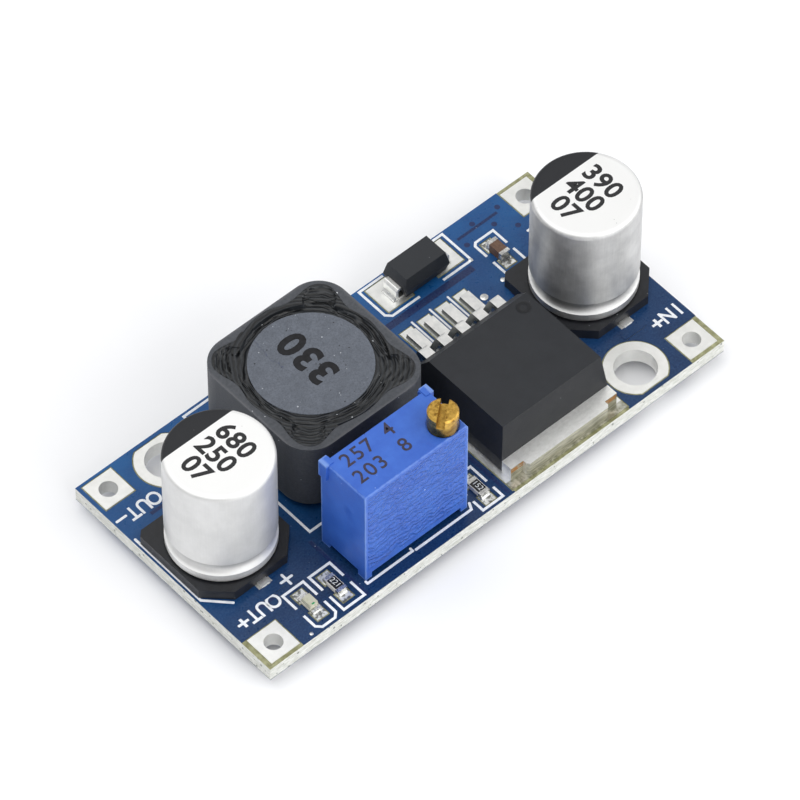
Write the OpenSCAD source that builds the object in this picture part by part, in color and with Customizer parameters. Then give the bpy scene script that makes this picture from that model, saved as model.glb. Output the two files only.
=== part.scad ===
// Step-down power module: a small circuit board with two electrolytic
// capacitors, a shielded inductor, a five-lead regulator, a diode and a
// multi-turn trimmer whose brass screw drives a toothed wheel.
// Millimetres. +X points to the input end, +Z up from the component side.
// The origin is the middle of the board's underside.

/* [Circuit board] */
// Length of the board
board_length = 43; // [42:0.1:50]
// Width of the board
board_width = 20.8; // [20.4:0.1:24]
// Thickness of the bare laminate
laminate_thickness = 1.2; // [0.8:0.1:2]
// Thickness of the coloured coat on each side
mask_thickness = 0.05; // [0.02:0.01:0.1]
// How far a tinned land stands above the coat
land_rise = 0.01; // [0.01:0.01:0.05]
// Bare margin round a land in the coat
mask_margin = 0.1; // [0.05:0.01:0.2]
// Wall of a plated hole
plating = 0.05; // [0.03:0.01:0.1]
// Play between a plated wall and the drilled laminate
plating_play = 0.01; // [0.005:0.005:0.03]

/* [Corner terminals] */
// Side of each square terminal pad
terminal_size = 2.6; // [2:0.1:3]
// Diameter of the hole in each terminal pad
terminal_hole = 1.4; // [0.8:0.1:1.6]
// Distance from the board's end to the middle of a terminal hole
terminal_end_inset = 1.7; // [1.6:0.1:2.2]
// Distance from the board's long edge to the middle of a terminal hole
terminal_edge_inset = 1.6; // [1.5:0.1:2.2]

/* [Mounting holes] */
// Diameter of the mounting holes
mount_hole = 3.2; // [2.6:0.1:3.4]
// Outer diameter of the tinned ring round a mounting hole
mount_ring = 4.7; // [4.2:0.1:5]
// Distance from the board's end to the middle of a mounting hole
mount_end_inset = 6.4; // [6:0.1:8]
// Distance from the board's long edge to the middle of a mounting hole
mount_edge_inset = 2.4; // [2.2:0.1:3]
// Distance from the board's long edge to the flat cut on the ring
mount_ring_cut = 0.4; // [0.2:0.1:0.6]

/* [Electrolytic capacitors] */
// Diameter of a capacitor's can
can_diameter = 8; // [6:0.1:8.6]
// Height of a can above its base plate
can_height = 9.85; // [6:0.05:12]
// Radius on the can's top edge
can_edge_radius = 0.4; // [0.2:0.1:0.8]
// Radius of the roll at the can's foot
can_foot_radius = 0.5; // [0.3:0.1:0.7]
// Height of the middle of the crimped groove above the can's foot
can_groove_height = 1.6; // [1.2:0.1:2]
// Depth of the crimped groove
can_groove_depth = 0.38; // [0.2:0.02:0.6]
// Radius of the crimped groove's round bottom
can_groove_radius = 0.7; // [0.4:0.1:1]
// How far the base plate reaches past the can on each side
base_overhang = 0.2; // [0.1:0.05:0.4]
// Height of the base plate
base_height = 0.9; // [0.8:0.05:1.6]
// Depth of the round seat that holds the can
base_seat_depth = 0.1; // [0.05:0.05:0.4]
// Clearance round the can in its seat
base_seat_play = 0.05; // [0.02:0.01:0.1]
// Chamfer on the base plate's two marked corners
base_chamfer = 1.8; // [1:0.1:2.4]
// Chamfer on the base plate's other two corners
base_small_chamfer = 0.4; // [0.1:0.1:1]
// Width of a capacitor's flat lead
can_lead_width = 0.8; // [0.5:0.05:1.1]
// Thickness of a capacitor's flat lead
can_lead_thickness = 0.2; // [0.1:0.05:0.3]
// How far a lead shows past the base plate
can_lead_reach = 0.5; // [0.3:0.1:0.9]
// Gap from the input capacitor's base to the board's end
input_cap_gap = 0; // [0:0.01:0.5]
// Gap from the output capacitor's base to the board's end
output_cap_gap = 0.27; // [0:0.01:0.5]
// Offset of both capacitors from the board's long middle line
cap_offset = -0.15; // [-0.3:0.05:0.3]

/* [Inductor] */
// Side of the square ferrite shield
shield_size = 12; // [10:0.1:12.6]
// Radius of the shield's corners
shield_corner = 2.4; // [1.5:0.1:3]
// Height of the inductor above the board
inductor_height = 6.85; // [5:0.05:8]
// Radius of the round opening in the shield
shield_opening = 5.35; // [4.8:0.05:5.5]
// Radius of the glue pocket in each corner of the shield
pocket_radius = 1.2; // [0.8:0.1:1.3]
// Distance of each glue pocket from the shield's middle
pocket_distance = 5.8; // [5:0.05:5.8]
// Radius of the drum core's flanges
drum_radius = 4.5; // [4:0.05:4.6]
// How far the drum stands off the shield's middle, towards the far edge
drum_offset = 0.3; // [0:0.05:0.4]
// Radius of the drum core's waist
drum_waist = 2.4; // [1.8:0.1:3]
// Thickness of the drum core's flanges
drum_flange = 1.1; // [0.8:0.1:1.5]
// How far the drum's top lies below the shield's rim
drum_sink = 0.12; // [0:0.02:0.3]
// Clearance between the winding and the drum
winding_play = 0.05; // [0.02:0.01:0.1]
// Thickness of the ring of glue between drum and shield
glue_depth = 1; // [0.6:0.1:1.5]
// How far the glue's surface lies below the shield's rim
glue_sink = 0.35; // [0.2:0.05:0.6]
// Thickness of the insulating plate under the inductor
inductor_plate = 0.4; // [0.3:0.1:0.8]
// Width of the inductor's clips
clip_width = 5; // [3:0.1:6]
// Thickness of the inductor's clips
clip_thickness = 0.2; // [0.1:0.05:0.3]
// Height of each clip up the side of the shield
clip_height = 1.6; // [1:0.1:3]
// Distance of the inductor's middle from the board's middle along X
inductor_x = -5.2; // [-5.4:0.1:-5]
// Gap from the inductor to the board's far long edge
inductor_edge_gap = 0.95; // [0.7:0.05:1.2]

/* [Regulator] */
// Width of the regulator's moulded body
regulator_width = 10.1; // [9:0.05:10.6]
// Length of the moulded body at its base
regulator_length = 9.3; // [8:0.1:9.6]
// Height of the body above the board
regulator_height = 4.5; // [3.6:0.1:5]
// Height of the leads' top face above the board
lead_exit_height = 3; // [2.4:0.1:3.2]
// Slope of the body's three plain sides, in from the base
regulator_draft = 0.4; // [0.1:0.05:0.6]
// Reach of the sloped shoulder above the leads
lead_side_slope = 1.15; // [0.5:0.05:1.4]
// Number of leads
lead_count = 5; // [3:2:7]
// Spacing of the leads
lead_pitch = 1.7; // [1.5:0.05:1.8]
// Width of a lead
lead_width = 0.84; // [0.6:0.02:0.95]
// Thickness of a lead
lead_thickness = 0.5; // [0.3:0.05:0.6]
// Length of the level part of a lead beside the body
lead_shoulder = 0.75; // [0.6:0.05:1]
// Distance from the body to the toe of a lead
lead_reach = 4; // [3.4:0.1:4.4]
// Length of the level foot of a lead
lead_foot = 2.3; // [1.6:0.1:2.5]
// Thickness of the heat tab
tab_thickness = 1.27; // [1:0.01:1.5]
// How far the heat tab reaches past the body
tab_reach = 1.5; // [1.2:0.05:1.6]
// Width of the heat tab's front tongue
tab_tongue = 7.8; // [7:0.1:9]
// Depth of the step in each side of the heat tab
tab_step = 0.55; // [0.3:0.05:0.8]
// Distance of the regulator's middle from the board's middle along X
regulator_x = 6.83; // [6.6:0.01:7]
// Gap from the heat tab to the board's near long edge
tab_edge_gap = 0.4; // [0.3:0.05:0.8]

/* [Diode] */
// Length of the diode's body
diode_length = 4.2; // [3.6:0.1:4.5]
// Width of the diode's body
diode_width = 2.5; // [2:0.1:2.8]
// Height of the diode's body
diode_height = 2; // [1.8:0.05:2.5]
// Slope of the body's sides above and below the parting line
diode_draft = 0.22; // [0.1:0.02:0.35]
// Width of the diode's terminals
diode_lead_width = 1.4; // [1:0.1:1.7]
// Thickness of the diode's terminals
diode_lead_thickness = 0.2; // [0.1:0.05:0.3]
// Reach of a terminal past the body
diode_lead_reach = 0.45; // [0.3:0.05:0.6]
// Length of each land under the diode
diode_land_length = 2.4; // [1.8:0.1:2.6]
// Width of each land under the diode
diode_land_width = 2.55; // [1.8:0.05:2.7]
// Reach of each land past the diode's body
diode_land_reach = 1.5; // [1:0.1:1.6]
// Distance of the diode's middle from the board's middle along X
diode_x = 8.95; // [8.8:0.05:9.1]
// Distance of the diode's middle from the far long edge
diode_edge_inset = 1.9; // [1.75:0.05:2.1]

/* [Chip parts] */
// Length of a chip part
chip_length = 1.6; // [1.2:0.1:1.7]
// Width of a chip part
chip_width = 0.8; // [0.5:0.05:0.9]
// Length of the metal end on a chip part
chip_end = 0.3; // [0.2:0.05:0.4]
// Height of a chip resistor
resistor_height = 0.45; // [0.35:0.05:0.6]
// Height of the ceramic chip capacitor
chip_cap_height = 0.85; // [0.5:0.05:1]
// Height of the indicator lamp's base
lamp_base_height = 0.25; // [0.2:0.05:0.4]
// Height of the indicator lamp's clear top
lamp_lens_height = 0.35; // [0.2:0.05:0.5]
// Thickness of the glaze on a chip resistor
glaze_thickness = 0.03; // [0.02:0.01:0.05]
// Thickness of the metal wrapped round a chip's end
chip_wrap = 0.02; // [0.01:0.01:0.04]
// Width of each land under a chip part
chip_land_width = 0.95; // [0.8:0.05:1.1]
// Length of each land under a chip part
chip_land_length = 0.9; // [0.7:0.05:1]
// Distance between the outer ends of a chip's two lands
chip_land_span = 2.8; // [2.4:0.1:3]
// Middle of the lamp's resistor along X, from the output end
lamp_resistor_inset = 8; // [7.8:0.05:8.1]
// Middle of the indicator lamp along X, from the output end
lamp_inset = 5.65; // [5.5:0.05:5.8]
// Distance of the lamp and its resistor from the near long edge
lamp_edge_inset = 2.3; // [2.1:0.05:2.4]
// Middle of the feedback resistor along X
feedback_x = -0.5; // [-0.6:0.05:-0.3]
// Distance of the feedback resistor from the near long edge
feedback_edge_inset = 1.9; // [1.8:0.05:2.1]
// Middle of the chip capacitor along X, from the input end
chip_cap_inset = 6.7; // [6.6:0.05:6.9]
// Distance of the chip capacitor from the far long edge
chip_cap_edge_inset = 4.2; // [4.1:0.05:4.4]

/* [Trimmer] */
// Width of the trimmer's housing
trimmer_width = 9.5; // [9:0.1:9.8]
// Depth of the trimmer's housing
trimmer_depth = 4.6; // [4.4:0.1:5.2]
// Height of the trimmer above the board
trimmer_height = 9.5; // [9.2:0.1:10.5]
// Height of the feet that lift the housing
trimmer_foot = 0.5; // [0.3:0.05:0.8]
// Length of each foot along the front
trimmer_foot_length = 0.6; // [0.4:0.05:1]
// Chamfer along the housing's top edges
trimmer_chamfer = 0.12; // [0.05:0.01:0.3]
// Thickness of the housing's outer walls
trimmer_wall = 0.45; // [0.35:0.05:0.55]
// Sideways reach of the two lugs at the housing's rear top corners
lug_reach = 0.22; // [0.1:0.02:0.3]
// Height of the two lugs
lug_height = 1.5; // [1:0.1:2]
// Step down of the rear edge between the lugs
rear_step = 0.35; // [0.2:0.05:0.5]
// Distance of the screw's axis from the housing's side and front
screw_inset = 1.23; // [1.2:0.01:1.3]
// Diameter of the screw's head
screw_head = 2.25; // [2:0.05:2.3]
// Height of the screw's head above the housing
screw_rise = 1.65; // [1:0.05:1.8]
// Width of the screwdriver slot
slot_width = 0.6; // [0.3:0.05:0.7]
// Depth of the screwdriver slot
slot_depth = 0.75; // [0.4:0.05:0.9]
// Direction of the slot at rest, from +X
slot_angle = 39; // [0:1:180]
// Diameter of the screw's journal
journal = 1.5; // [1.3:0.05:1.55]
// Running clearance of the screw and of the wheel, on the radius
running_play = 0.05; // [0.02:0.01:0.08]
// Radius of the sealing ring's cord
seal_cord = 0.18; // [0.14:0.01:0.2]
// Height of the sealing ring below the housing's top
seal_depth = 1; // [0.9:0.05:1.2]
// Radius of the worm's core
worm_core = 0.45; // [0.35:0.01:0.5]
// Teeth on the wheel
wheel_teeth = 30; // [24:1:32]
// Tooth module of the wheel: pitch diameter over teeth
wheel_module = 0.2; // [0.17:0.005:0.205]
// Width of the toothed rim
wheel_width = 1; // [0.7:0.05:1.2]
// Radius of the rotor behind the toothed rim
rotor_radius = 2.3; // [2:0.1:2.6]
// Distance from the worm's core to the tips of the teeth
mesh_gap = 0.1; // [0.06:0.01:0.2]
// Diameter of the post that carries the wheel
wheel_post = 1.2; // [0.9:0.05:1.5]
// Thickness of the spring wiper
wiper_thickness = 0.12; // [0.08:0.01:0.2]
// Length of the wiper's fingers
wiper_finger = 0.4; // [0.3:0.05:0.6]
// Gap left between the wiper's fingers and the element
wiper_gap = 0.05; // [0.03:0.01:0.1]
// Thickness of the ceramic element
element_thickness = 0.6; // [0.5:0.05:0.7]
// Clearance round the ceramic element in the housing
element_play = 0.05; // [0.02:0.01:0.1]
// Thickness of the sealing resin behind the element
resin_thickness = 0.35; // [0.2:0.05:0.4]
// Diameter of the trimmer's pins
pin_diameter = 0.5; // [0.4:0.02:0.6]
// Spacing of the trimmer's pins
pin_pitch = 2.54; // [2.4:0.02:2.6]
// Reach of a pin below the board
pin_reach = 0.9; // [0.5:0.1:1.5]
// Clearance of a pin in its plated hole
pin_play = 0.15; // [0.1:0.01:0.2]
// Outer diameter of a pin's land
pin_land = 1.7; // [1.4:0.1:2]
// Distance of the trimmer's middle from the board's middle along X
trimmer_x = -6.85; // [-7:0.05:-6.75]
// Gap between the trimmer's back and the inductor's shield
trimmer_shield_gap = 2; // [1.9:0.05:2.1]

/* [Solder] */
// Radius of the hollow fillet at a lead or a chip's end
fillet_radius = 0.3; // [0.15:0.01:0.34]
// Height of the solder cone round a pin under the board
cone_height = 0.65; // [0.4:0.05:0.8]

/* [Hidden] */
$fn = 48;

// Board levels
laminate_bottom = mask_thickness;
laminate_top = laminate_bottom + laminate_thickness;
board_top = laminate_top + mask_thickness;
land_top = board_top + land_rise;
land_thickness = mask_thickness + land_rise;
end_x = board_length / 2;
edge_y = board_width / 2;

// Corner terminals and mounting holes
terminal_x = end_x - terminal_end_inset;
terminal_y = edge_y - terminal_edge_inset;
terminal_places = [for (sx = [-1, 1], sy = [-1, 1]) [sx * terminal_x, sy * terminal_y]];
mount_x = end_x - mount_end_inset;
mount_y = edge_y - mount_edge_inset;
mount_places = [[mount_x, -mount_y], [-mount_x, mount_y]];

// Capacitors
base_size = can_diameter + 2 * base_overhang;
input_cap_x = end_x - input_cap_gap - base_size / 2;
output_cap_x = -end_x + output_cap_gap + base_size / 2;
can_foot_z = land_top + base_height - base_seat_depth;
can_lead_inner = 1.1;
can_land_width = can_lead_width + 1;
can_land_reach = can_lead_reach + 0.8;
can_land_length = 3;

// Inductor
inductor_y = edge_y - inductor_edge_gap - shield_size / 2;
plate_bottom = land_top + clip_thickness;
shield_bottom = plate_bottom + inductor_plate;
shield_top = board_top + inductor_height;
drum_top = shield_top - drum_sink;
glue_top = shield_top - glue_sink;
clip_land_length = 2.2;
clip_reach_under = 1.8;
clip_land_reach = 0.6;

// Regulator
tab_front = -edge_y + tab_edge_gap;
body_front = tab_front + tab_reach;
body_back = body_front + regulator_length;
regulator_top = board_top + regulator_height;
lead_top = board_top + lead_exit_height;
tab_bottom = land_top;
tab_top = tab_bottom + tab_thickness;
body_lift = 0.1;
toe_y = body_back + lead_reach;
lead_land_width = 1.06;
lead_land_past_toe = 0.6;
lead_land_length = lead_foot + 1.1;
tab_land_side = 0.45;
tab_land_length = 8.6;

// Diode
diode_y = edge_y - diode_edge_inset;
diode_bottom = land_top + diode_lead_thickness + 0.02;
diode_parting = diode_bottom + diode_height * 0.43;
diode_land_shift = 0.2;

// Chip parts: middle of each on the board
lamp_place = [-end_x + lamp_inset, -edge_y + lamp_edge_inset];
lamp_resistor_place = [-end_x + lamp_resistor_inset, -edge_y + lamp_edge_inset];
feedback_place = [feedback_x, -edge_y + feedback_edge_inset];
chip_cap_place = [end_x - chip_cap_inset, edge_y - chip_cap_edge_inset];
chip_places = [lamp_place, lamp_resistor_place, feedback_place, chip_cap_place];

// Trimmer, in its own frame: middle of its footprint on the board
trimmer_y = inductor_y - shield_size / 2 - trimmer_shield_gap - trimmer_depth / 2;
half_width = trimmer_width / 2;
front_y = -trimmer_depth / 2;
rear_y = trimmer_depth / 2;
housing_bottom = trimmer_foot;
screw_x = half_width - screw_inset;
screw_y = front_y + screw_inset;
resin_front = rear_y - resin_thickness - 0.1;
element_front = resin_front - element_thickness;
cavity_bottom = housing_bottom + 0.6;
cavity_top = trimmer_height - 1.9;
wheel_pitch_radius = wheel_module * wheel_teeth / 2;
wheel_tip = wheel_pitch_radius + 0.75 * wheel_module;
wheel_root = wheel_pitch_radius - wheel_module;
wheel_x = screw_x - worm_core - mesh_gap - wheel_tip;
wheel_z = (cavity_bottom + cavity_top) / 2;
wheel_front = screw_y - wheel_width / 2;
rotor_back = element_front - wiper_gap - wiper_finger;
seal_z = trimmer_height - seal_depth;
pin_y = (element_front + resin_front) / 2;
pin_top = cavity_bottom + 0.5;

// ---- Shared shapes ----

// Flat block whose outline is a square with round corners
module rounded_plate(size, radius, height) {
    linear_extrude(height) union() {
        square([size[0] - 2 * radius, size[1]], center = true);
        square([size[0], size[1] - 2 * radius], center = true);
        for (sx = [-1, 1], sy = [-1, 1])
            translate([sx * (size[0] / 2 - radius), sy * (size[1] / 2 - radius)])
                circle(radius);
    }
}

// Solid that has one outline seen along Y and another seen along X
module crossed_profiles(front_outline, side_outline, reach) {
    intersection() {
        rotate([90, 0, 0])
            linear_extrude(reach, center = true) polygon(front_outline);
        rotate([90, 0, 90])
            linear_extrude(reach, center = true) polygon(side_outline);
    }
}

// Outline of a sheet strip bent along a run of points
module bent_outline(points, thickness) {
    for (i = [0 : len(points) - 2]) {
        step = points[i + 1] - points[i];
        translate(points[i])
            rotate(atan2(step[1], step[0]))
                translate([0, -thickness / 2]) square([norm(step), thickness]);
    }
    for (i = [1 : 1 : len(points) - 2])
        translate(points[i]) circle(d = thickness);
}

// Bent strip of a given width; the outline lies in Y and Z
module bent_strip(points, thickness, width) {
    rotate([90, 0, 90])
        linear_extrude(width, center = true) bent_outline(points, thickness);
}

// Hollow fillet that stands at y = 0 and runs out towards +Y
module solder_fillet(width, radius) {
    rotate([90, 0, 90])
        linear_extrude(width, center = true)
            difference() {
                square(radius);
                translate([radius, radius]) circle(radius);
            }
}

// Pair of copies, one turned half round, for a part's two ends
module both_ends() {
    children();
    rotate(180) children();
}

module at_input_cap() translate([input_cap_x, cap_offset, 0]) children();
module at_output_cap() translate([output_cap_x, cap_offset, 0]) children();
module at_inductor() translate([inductor_x, inductor_y, 0]) children();
module at_drum() translate([inductor_x, inductor_y + drum_offset, 0]) children();
module at_regulator() translate([regulator_x, 0, 0]) children();
module at_diode() translate([diode_x, diode_y, 0]) children();
module at_trimmer() translate([trimmer_x, trimmer_y, board_top]) children();

// ---- Board ----

function pin_places() =
    [for (i = [-1 : 1]) [trimmer_x + i * pin_pitch, trimmer_y + pin_y]];
pin_hole = pin_diameter / 2 + pin_play;

// Every plated hole, as [place, inner radius]
plated_holes = concat(
    [for (p = mount_places) [p, mount_hole / 2]],
    [for (p = terminal_places) [p, terminal_hole / 2]],
    [for (p = pin_places()) [p, pin_hole]]
);

module circuit_board() {
    color([0.78, 0.77, 0.68])
    difference() {
        translate([-end_x, -edge_y, laminate_bottom])
            cube([board_length, board_width, laminate_thickness]);
        for (h = plated_holes)
            translate([h[0][0], h[0][1], -1])
                cylinder(r = h[1] + plating + plating_play, h = board_top + 2);
    }
}

// Plan of a mounting ring, cut flat on the side of the near edge
module ring_plan(side, grow = 0) {
    cut = edge_y - mount_ring_cut + grow;
    intersection() {
        circle(d = mount_ring + 2 * grow);
        translate([-mount_ring, side > 0 ? -mount_ring : -(cut - mount_y)])
            square([2 * mount_ring, mount_ring + cut - mount_y]);
    }
}

// Openings that both coats share: mounting rings, terminals and pins
module shared_openings() {
    for (p = mount_places)
        translate(p) ring_plan(sign(p[1]), mask_margin);
    for (p = pin_places())
        translate(p) circle(d = pin_land + 2 * mask_margin);
}

// Openings for the corner terminals; three of them run out to the board's edge
module terminal_openings() {
    side = terminal_size + 2 * mask_margin;
    for (p = terminal_places) {
        translate(p) square(side, center = true);
        if (!(p[0] < 0 && p[1] > 0))
            translate(p) mirror([p[0] < 0 ? 1 : 0, 0]) mirror([0, p[1] < 0 ? 1 : 0])
                translate([-side / 2, -side / 2])
                    square([side / 2 + terminal_end_inset + 1, side / 2 + terminal_edge_inset + 1]);
    }
}

module solder_mask_top() {
    color([0.13, 0.28, 0.55])
    translate([0, 0, laminate_top])
        linear_extrude(mask_thickness)
            difference() {
                square([board_length, board_width], center = true);
                shared_openings();
                terminal_openings();
                land_plans(mask_margin);
                translate([regulator_x - regulator_width / 2 - tab_land_side, -edge_y - 1])
                    square([regulator_width + 2 * tab_land_side, 3]);
            }
}

module solder_mask_bottom() {
    color([0.13, 0.28, 0.55])
    linear_extrude(mask_thickness)
        difference() {
            square([board_length, board_width], center = true);
            shared_openings();
            for (p = terminal_places)
                translate(p) square(terminal_size + 2 * mask_margin, center = true);
        }
}

// Plated hole with a land on each face
module plated_hole(inner) {
    difference() {
        union() {
            translate([0, 0, -land_rise])
                linear_extrude(land_thickness) children();
            translate([0, 0, laminate_top])
                linear_extrude(land_thickness) children();
            cylinder(r = inner + plating, h = board_top);
        }
        translate([0, 0, -1]) cylinder(r = inner, h = board_top + 2);
    }
}

module terminal_pads() {
    color([0.9, 0.9, 0.88])
    for (p = terminal_places)
        translate(p) plated_hole(terminal_hole / 2)
            square(terminal_size, center = true);
}

module mounting_rings() {
    color([0.9, 0.9, 0.88])
    for (p = mount_places)
        translate(p) plated_hole(mount_hole / 2) ring_plan(sign(p[1]));
}

module trimmer_lands() {
    color([0.9, 0.9, 0.88])
    for (p = pin_places())
        translate(p) plated_hole(pin_hole) circle(d = pin_land);
}

// Rectangle given by its middle and size, grown on all sides
module land(middle, size, grow) {
    translate(middle)
        square([size[0] + 2 * grow, size[1] + 2 * grow], center = true);
}

// Plan of every surface land
module land_plans(grow = 0) {
    cap_land_y = base_size / 2 + can_land_reach - can_land_length / 2;
    for (x = [input_cap_x, output_cap_x], s = [-1, 1])
        land([x, cap_offset + s * cap_land_y], [can_land_width, can_land_length], grow);
    clip_land_y = shield_size / 2 + clip_land_reach - clip_land_length / 2;
    for (s = [-1, 1])
        land([inductor_x, inductor_y + s * clip_land_y], [clip_width + 0.6, clip_land_length], grow);
    for (x = lead_offsets)
        land([regulator_x + x, toe_y + lead_land_past_toe - lead_land_length / 2],
             [lead_land_width, lead_land_length], grow);
    tab_land_y = tab_front - 0.15 + tab_land_length / 2;
    land([regulator_x, tab_land_y], [regulator_width + 2 * tab_land_side, tab_land_length], grow);
    diode_land_x = diode_length / 2 + diode_land_reach - diode_land_length / 2;
    for (s = [-1, 1])
        land([diode_x + s * diode_land_x, diode_y + diode_land_shift], [diode_land_length, diode_land_width], grow);
    chip_land_y = (chip_land_span - chip_land_length) / 2;
    for (p = chip_places, s = [-1, 1])
        land(p + [0, s * chip_land_y], [chip_land_width, chip_land_length], grow);
}

module component_lands() {
    color([0.86, 0.86, 0.82])
    translate([0, 0, laminate_top]) linear_extrude(land_thickness) land_plans();
}

// ---- Electrolytic capacitors ----

// Half section of a can: rolled foot, crimped groove and round top edge
module can_section() {
    radius = can_diameter / 2;
    intersection() {
        square([radius, can_height]);
        difference() {
            union() {
                translate([0, can_foot_radius])
                    square([radius, can_height - can_foot_radius - can_edge_radius]);
                square([radius - can_foot_radius, can_height]);
                translate([0, can_height - 2 * can_edge_radius])
                    square([radius - can_edge_radius, 2 * can_edge_radius]);
                translate([radius - can_foot_radius, can_foot_radius])
                    circle(can_foot_radius);
                translate([radius - can_edge_radius, can_height - can_edge_radius])
                    circle(can_edge_radius);
            }
            translate([radius - can_groove_depth + can_groove_radius, can_groove_height])
                circle(can_groove_radius);
            if (can_foot_radius < can_edge_radius)
                translate([radius - can_edge_radius, can_height - can_edge_radius])
                    difference() {
                        square(2 * can_edge_radius);
                        circle(can_edge_radius);
                    }
            if (can_foot_radius >= can_edge_radius)
                translate([radius - can_foot_radius, can_height - can_edge_radius])
                    difference() {
                        square(2 * can_foot_radius);
                        square([can_foot_radius - can_edge_radius, can_edge_radius]);
                        translate([can_foot_radius - can_edge_radius, 0]) circle(can_edge_radius);
                    }
        }
    }
}

module can() {
    translate([0, 0, can_foot_z]) rotate_extrude() can_section();
}

// Square base plate with two chamfered corners, a round seat and lead grooves
module cap_base() {
    half = base_size / 2;
    groove = can_lead_width + 0.1;
    translate([0, 0, land_top])
        difference() {
            linear_extrude(base_height)
                polygon([
                    [-half + base_chamfer, -half], [half - base_chamfer, -half],
                    [half, -half + base_chamfer], [half, half - base_small_chamfer],
                    [half - base_small_chamfer, half], [-half + base_small_chamfer, half],
                    [-half, half - base_small_chamfer], [-half, -half + base_chamfer]
                ]);
            translate([0, 0, base_height - base_seat_depth])
                cylinder(d = can_diameter + 2 * base_seat_play, h = base_height);
            both_ends()
                translate([-groove / 2, can_lead_inner - 0.05, -1])
                    cube([groove, half, 1 + can_lead_thickness + 0.05]);
        }
}

module cap_leads() {
    reach = base_size / 2 + can_lead_reach;
    both_ends()
        translate([-can_lead_width / 2, can_lead_inner, land_top])
            cube([can_lead_width, reach - can_lead_inner, can_lead_thickness]);
}

module input_cap_can() color([0.72, 0.72, 0.72]) at_input_cap() can();
module input_cap_base() color([0.12, 0.12, 0.13]) at_input_cap() cap_base();
module input_cap_leads() color([0.85, 0.85, 0.82]) at_input_cap() cap_leads();
module output_cap_can() color([0.86, 0.86, 0.87]) at_output_cap() can();
module output_cap_base() color([0.12, 0.12, 0.13]) at_output_cap() cap_base();
module output_cap_leads() color([0.85, 0.85, 0.82]) at_output_cap() cap_leads();

// ---- Inductor ----

// Plan of the shield's opening: a circle with a pocket in each corner
module opening_plan(grow = 0) {
    circle(shield_opening + grow);
    for (a = [45 : 90 : 315])
        rotate(a) translate([pocket_distance, 0]) circle(pocket_radius + grow);
}

module inductor_shield() {
    color([0.3, 0.3, 0.32])
    at_inductor() translate([0, 0, shield_bottom])
        difference() {
            rounded_plate([shield_size, shield_size], shield_corner, shield_top - shield_bottom);
            translate([0, 0, -1]) linear_extrude(inductor_height + 2) opening_plan();
        }
}

module inductor_drum() {
    color([0.36, 0.36, 0.38])
    at_drum() translate([0, 0, shield_bottom])
        rotate_extrude()
            difference() {
                square([drum_radius, drum_top - shield_bottom]);
                translate([drum_waist, drum_flange])
                    square([drum_radius, drum_top - shield_bottom - 2 * drum_flange]);
            }
}

module inductor_winding() {
    room = drum_top - shield_bottom - 2 * drum_flange;
    color([0.72, 0.4, 0.2])
    at_drum() translate([0, 0, shield_bottom + drum_flange + winding_play])
        rotate_extrude()
            translate([drum_waist + winding_play, 0])
                square([drum_radius - drum_waist - 0.25, room - 2 * winding_play]);
}

module inductor_glue() {
    color([0.15, 0.15, 0.16])
    at_inductor() translate([0, 0, glue_top - glue_depth])
        linear_extrude(glue_depth)
            difference() {
                opening_plan(-0.01);
                translate([0, drum_offset]) circle(drum_radius + 0.01);
            }
}

module inductor_plate_sheet() {
    color([0.16, 0.16, 0.17])
    at_inductor() translate([0, 0, plate_bottom])
        rounded_plate([shield_size - 0.4, shield_size - 0.4], shield_corner, inductor_plate);
}

// Two clips that wrap from under the plate up the side of the shield
module inductor_clips() {
    middle = clip_thickness / 2;
    outer = shield_size / 2 + middle;
    color([0.85, 0.85, 0.82])
    at_inductor() translate([0, 0, land_top])
        both_ends()
            bent_strip([[outer - clip_reach_under, middle], [outer, middle], [outer, clip_height]],
                       clip_thickness, clip_width);
}

// ---- Regulator ----

lead_offsets =
    [for (i = [0 : lead_count - 1]) (i - (lead_count - 1) / 2) * lead_pitch];

// Moulded body: plain drafted sides, and a long slope down to the leads
module regulator_body() {
    half = regulator_width / 2;
    top = regulator_top;
    low = board_top + body_lift;
    seam = lead_top;
    back = body_back;
    color([0.16, 0.16, 0.18])
    difference() {
        at_regulator() crossed_profiles(
            [[-half, low], [half, low], [half, tab_top], [half - regulator_draft, top],
             [-half + regulator_draft, top], [-half, tab_top]],
            [[body_front, low], [back - 0.3, low], [back, seam - lead_thickness],
             [back, seam], [back - lead_side_slope, top],
             [body_front + regulator_draft, top], [body_front, tab_top]],
            3 * board_width);
        regulator_tab_solid();
        regulator_lead_solids();
    }
}

// Heat tab: a slab under the body with a stepped, chamfered front tongue
module regulator_tab_solid() {
    half = regulator_width / 2;
    tongue = tab_tongue / 2;
    corner = 0.2;
    slab_back = body_back - 1.6;
    at_regulator() translate([0, 0, tab_bottom])
        linear_extrude(tab_thickness)
            polygon([
                [-tongue + corner, tab_front], [tongue - corner, tab_front],
                [tongue, tab_front + corner], [tongue, tab_front + tab_step],
                [half, tab_front + tab_step], [half, body_front],
                [half - 1, body_front], [half - 1, slab_back],
                [-half + 1, slab_back], [-half + 1, body_front],
                [-half, body_front], [-half, tab_front + tab_step],
                [-tongue, tab_front + tab_step], [-tongue, tab_front + corner]
            ]);
}

module regulator_tab() color([0.82, 0.82, 0.8]) regulator_tab_solid();

// Gull-wing leads, each rooted a little way inside the body
module regulator_lead_solids() {
    level = lead_top - lead_thickness / 2;
    foot = land_top + lead_thickness / 2;
    for (x = lead_offsets)
        at_regulator() translate([x, 0, 0])
            bent_strip([
                [body_back - 1.2, level], [body_back + lead_shoulder, level],
                [toe_y - lead_foot, foot], [toe_y, foot]
            ], lead_thickness, lead_width);
}

module regulator_leads() color([0.88, 0.88, 0.86]) regulator_lead_solids();

// ---- Diode ----

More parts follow.
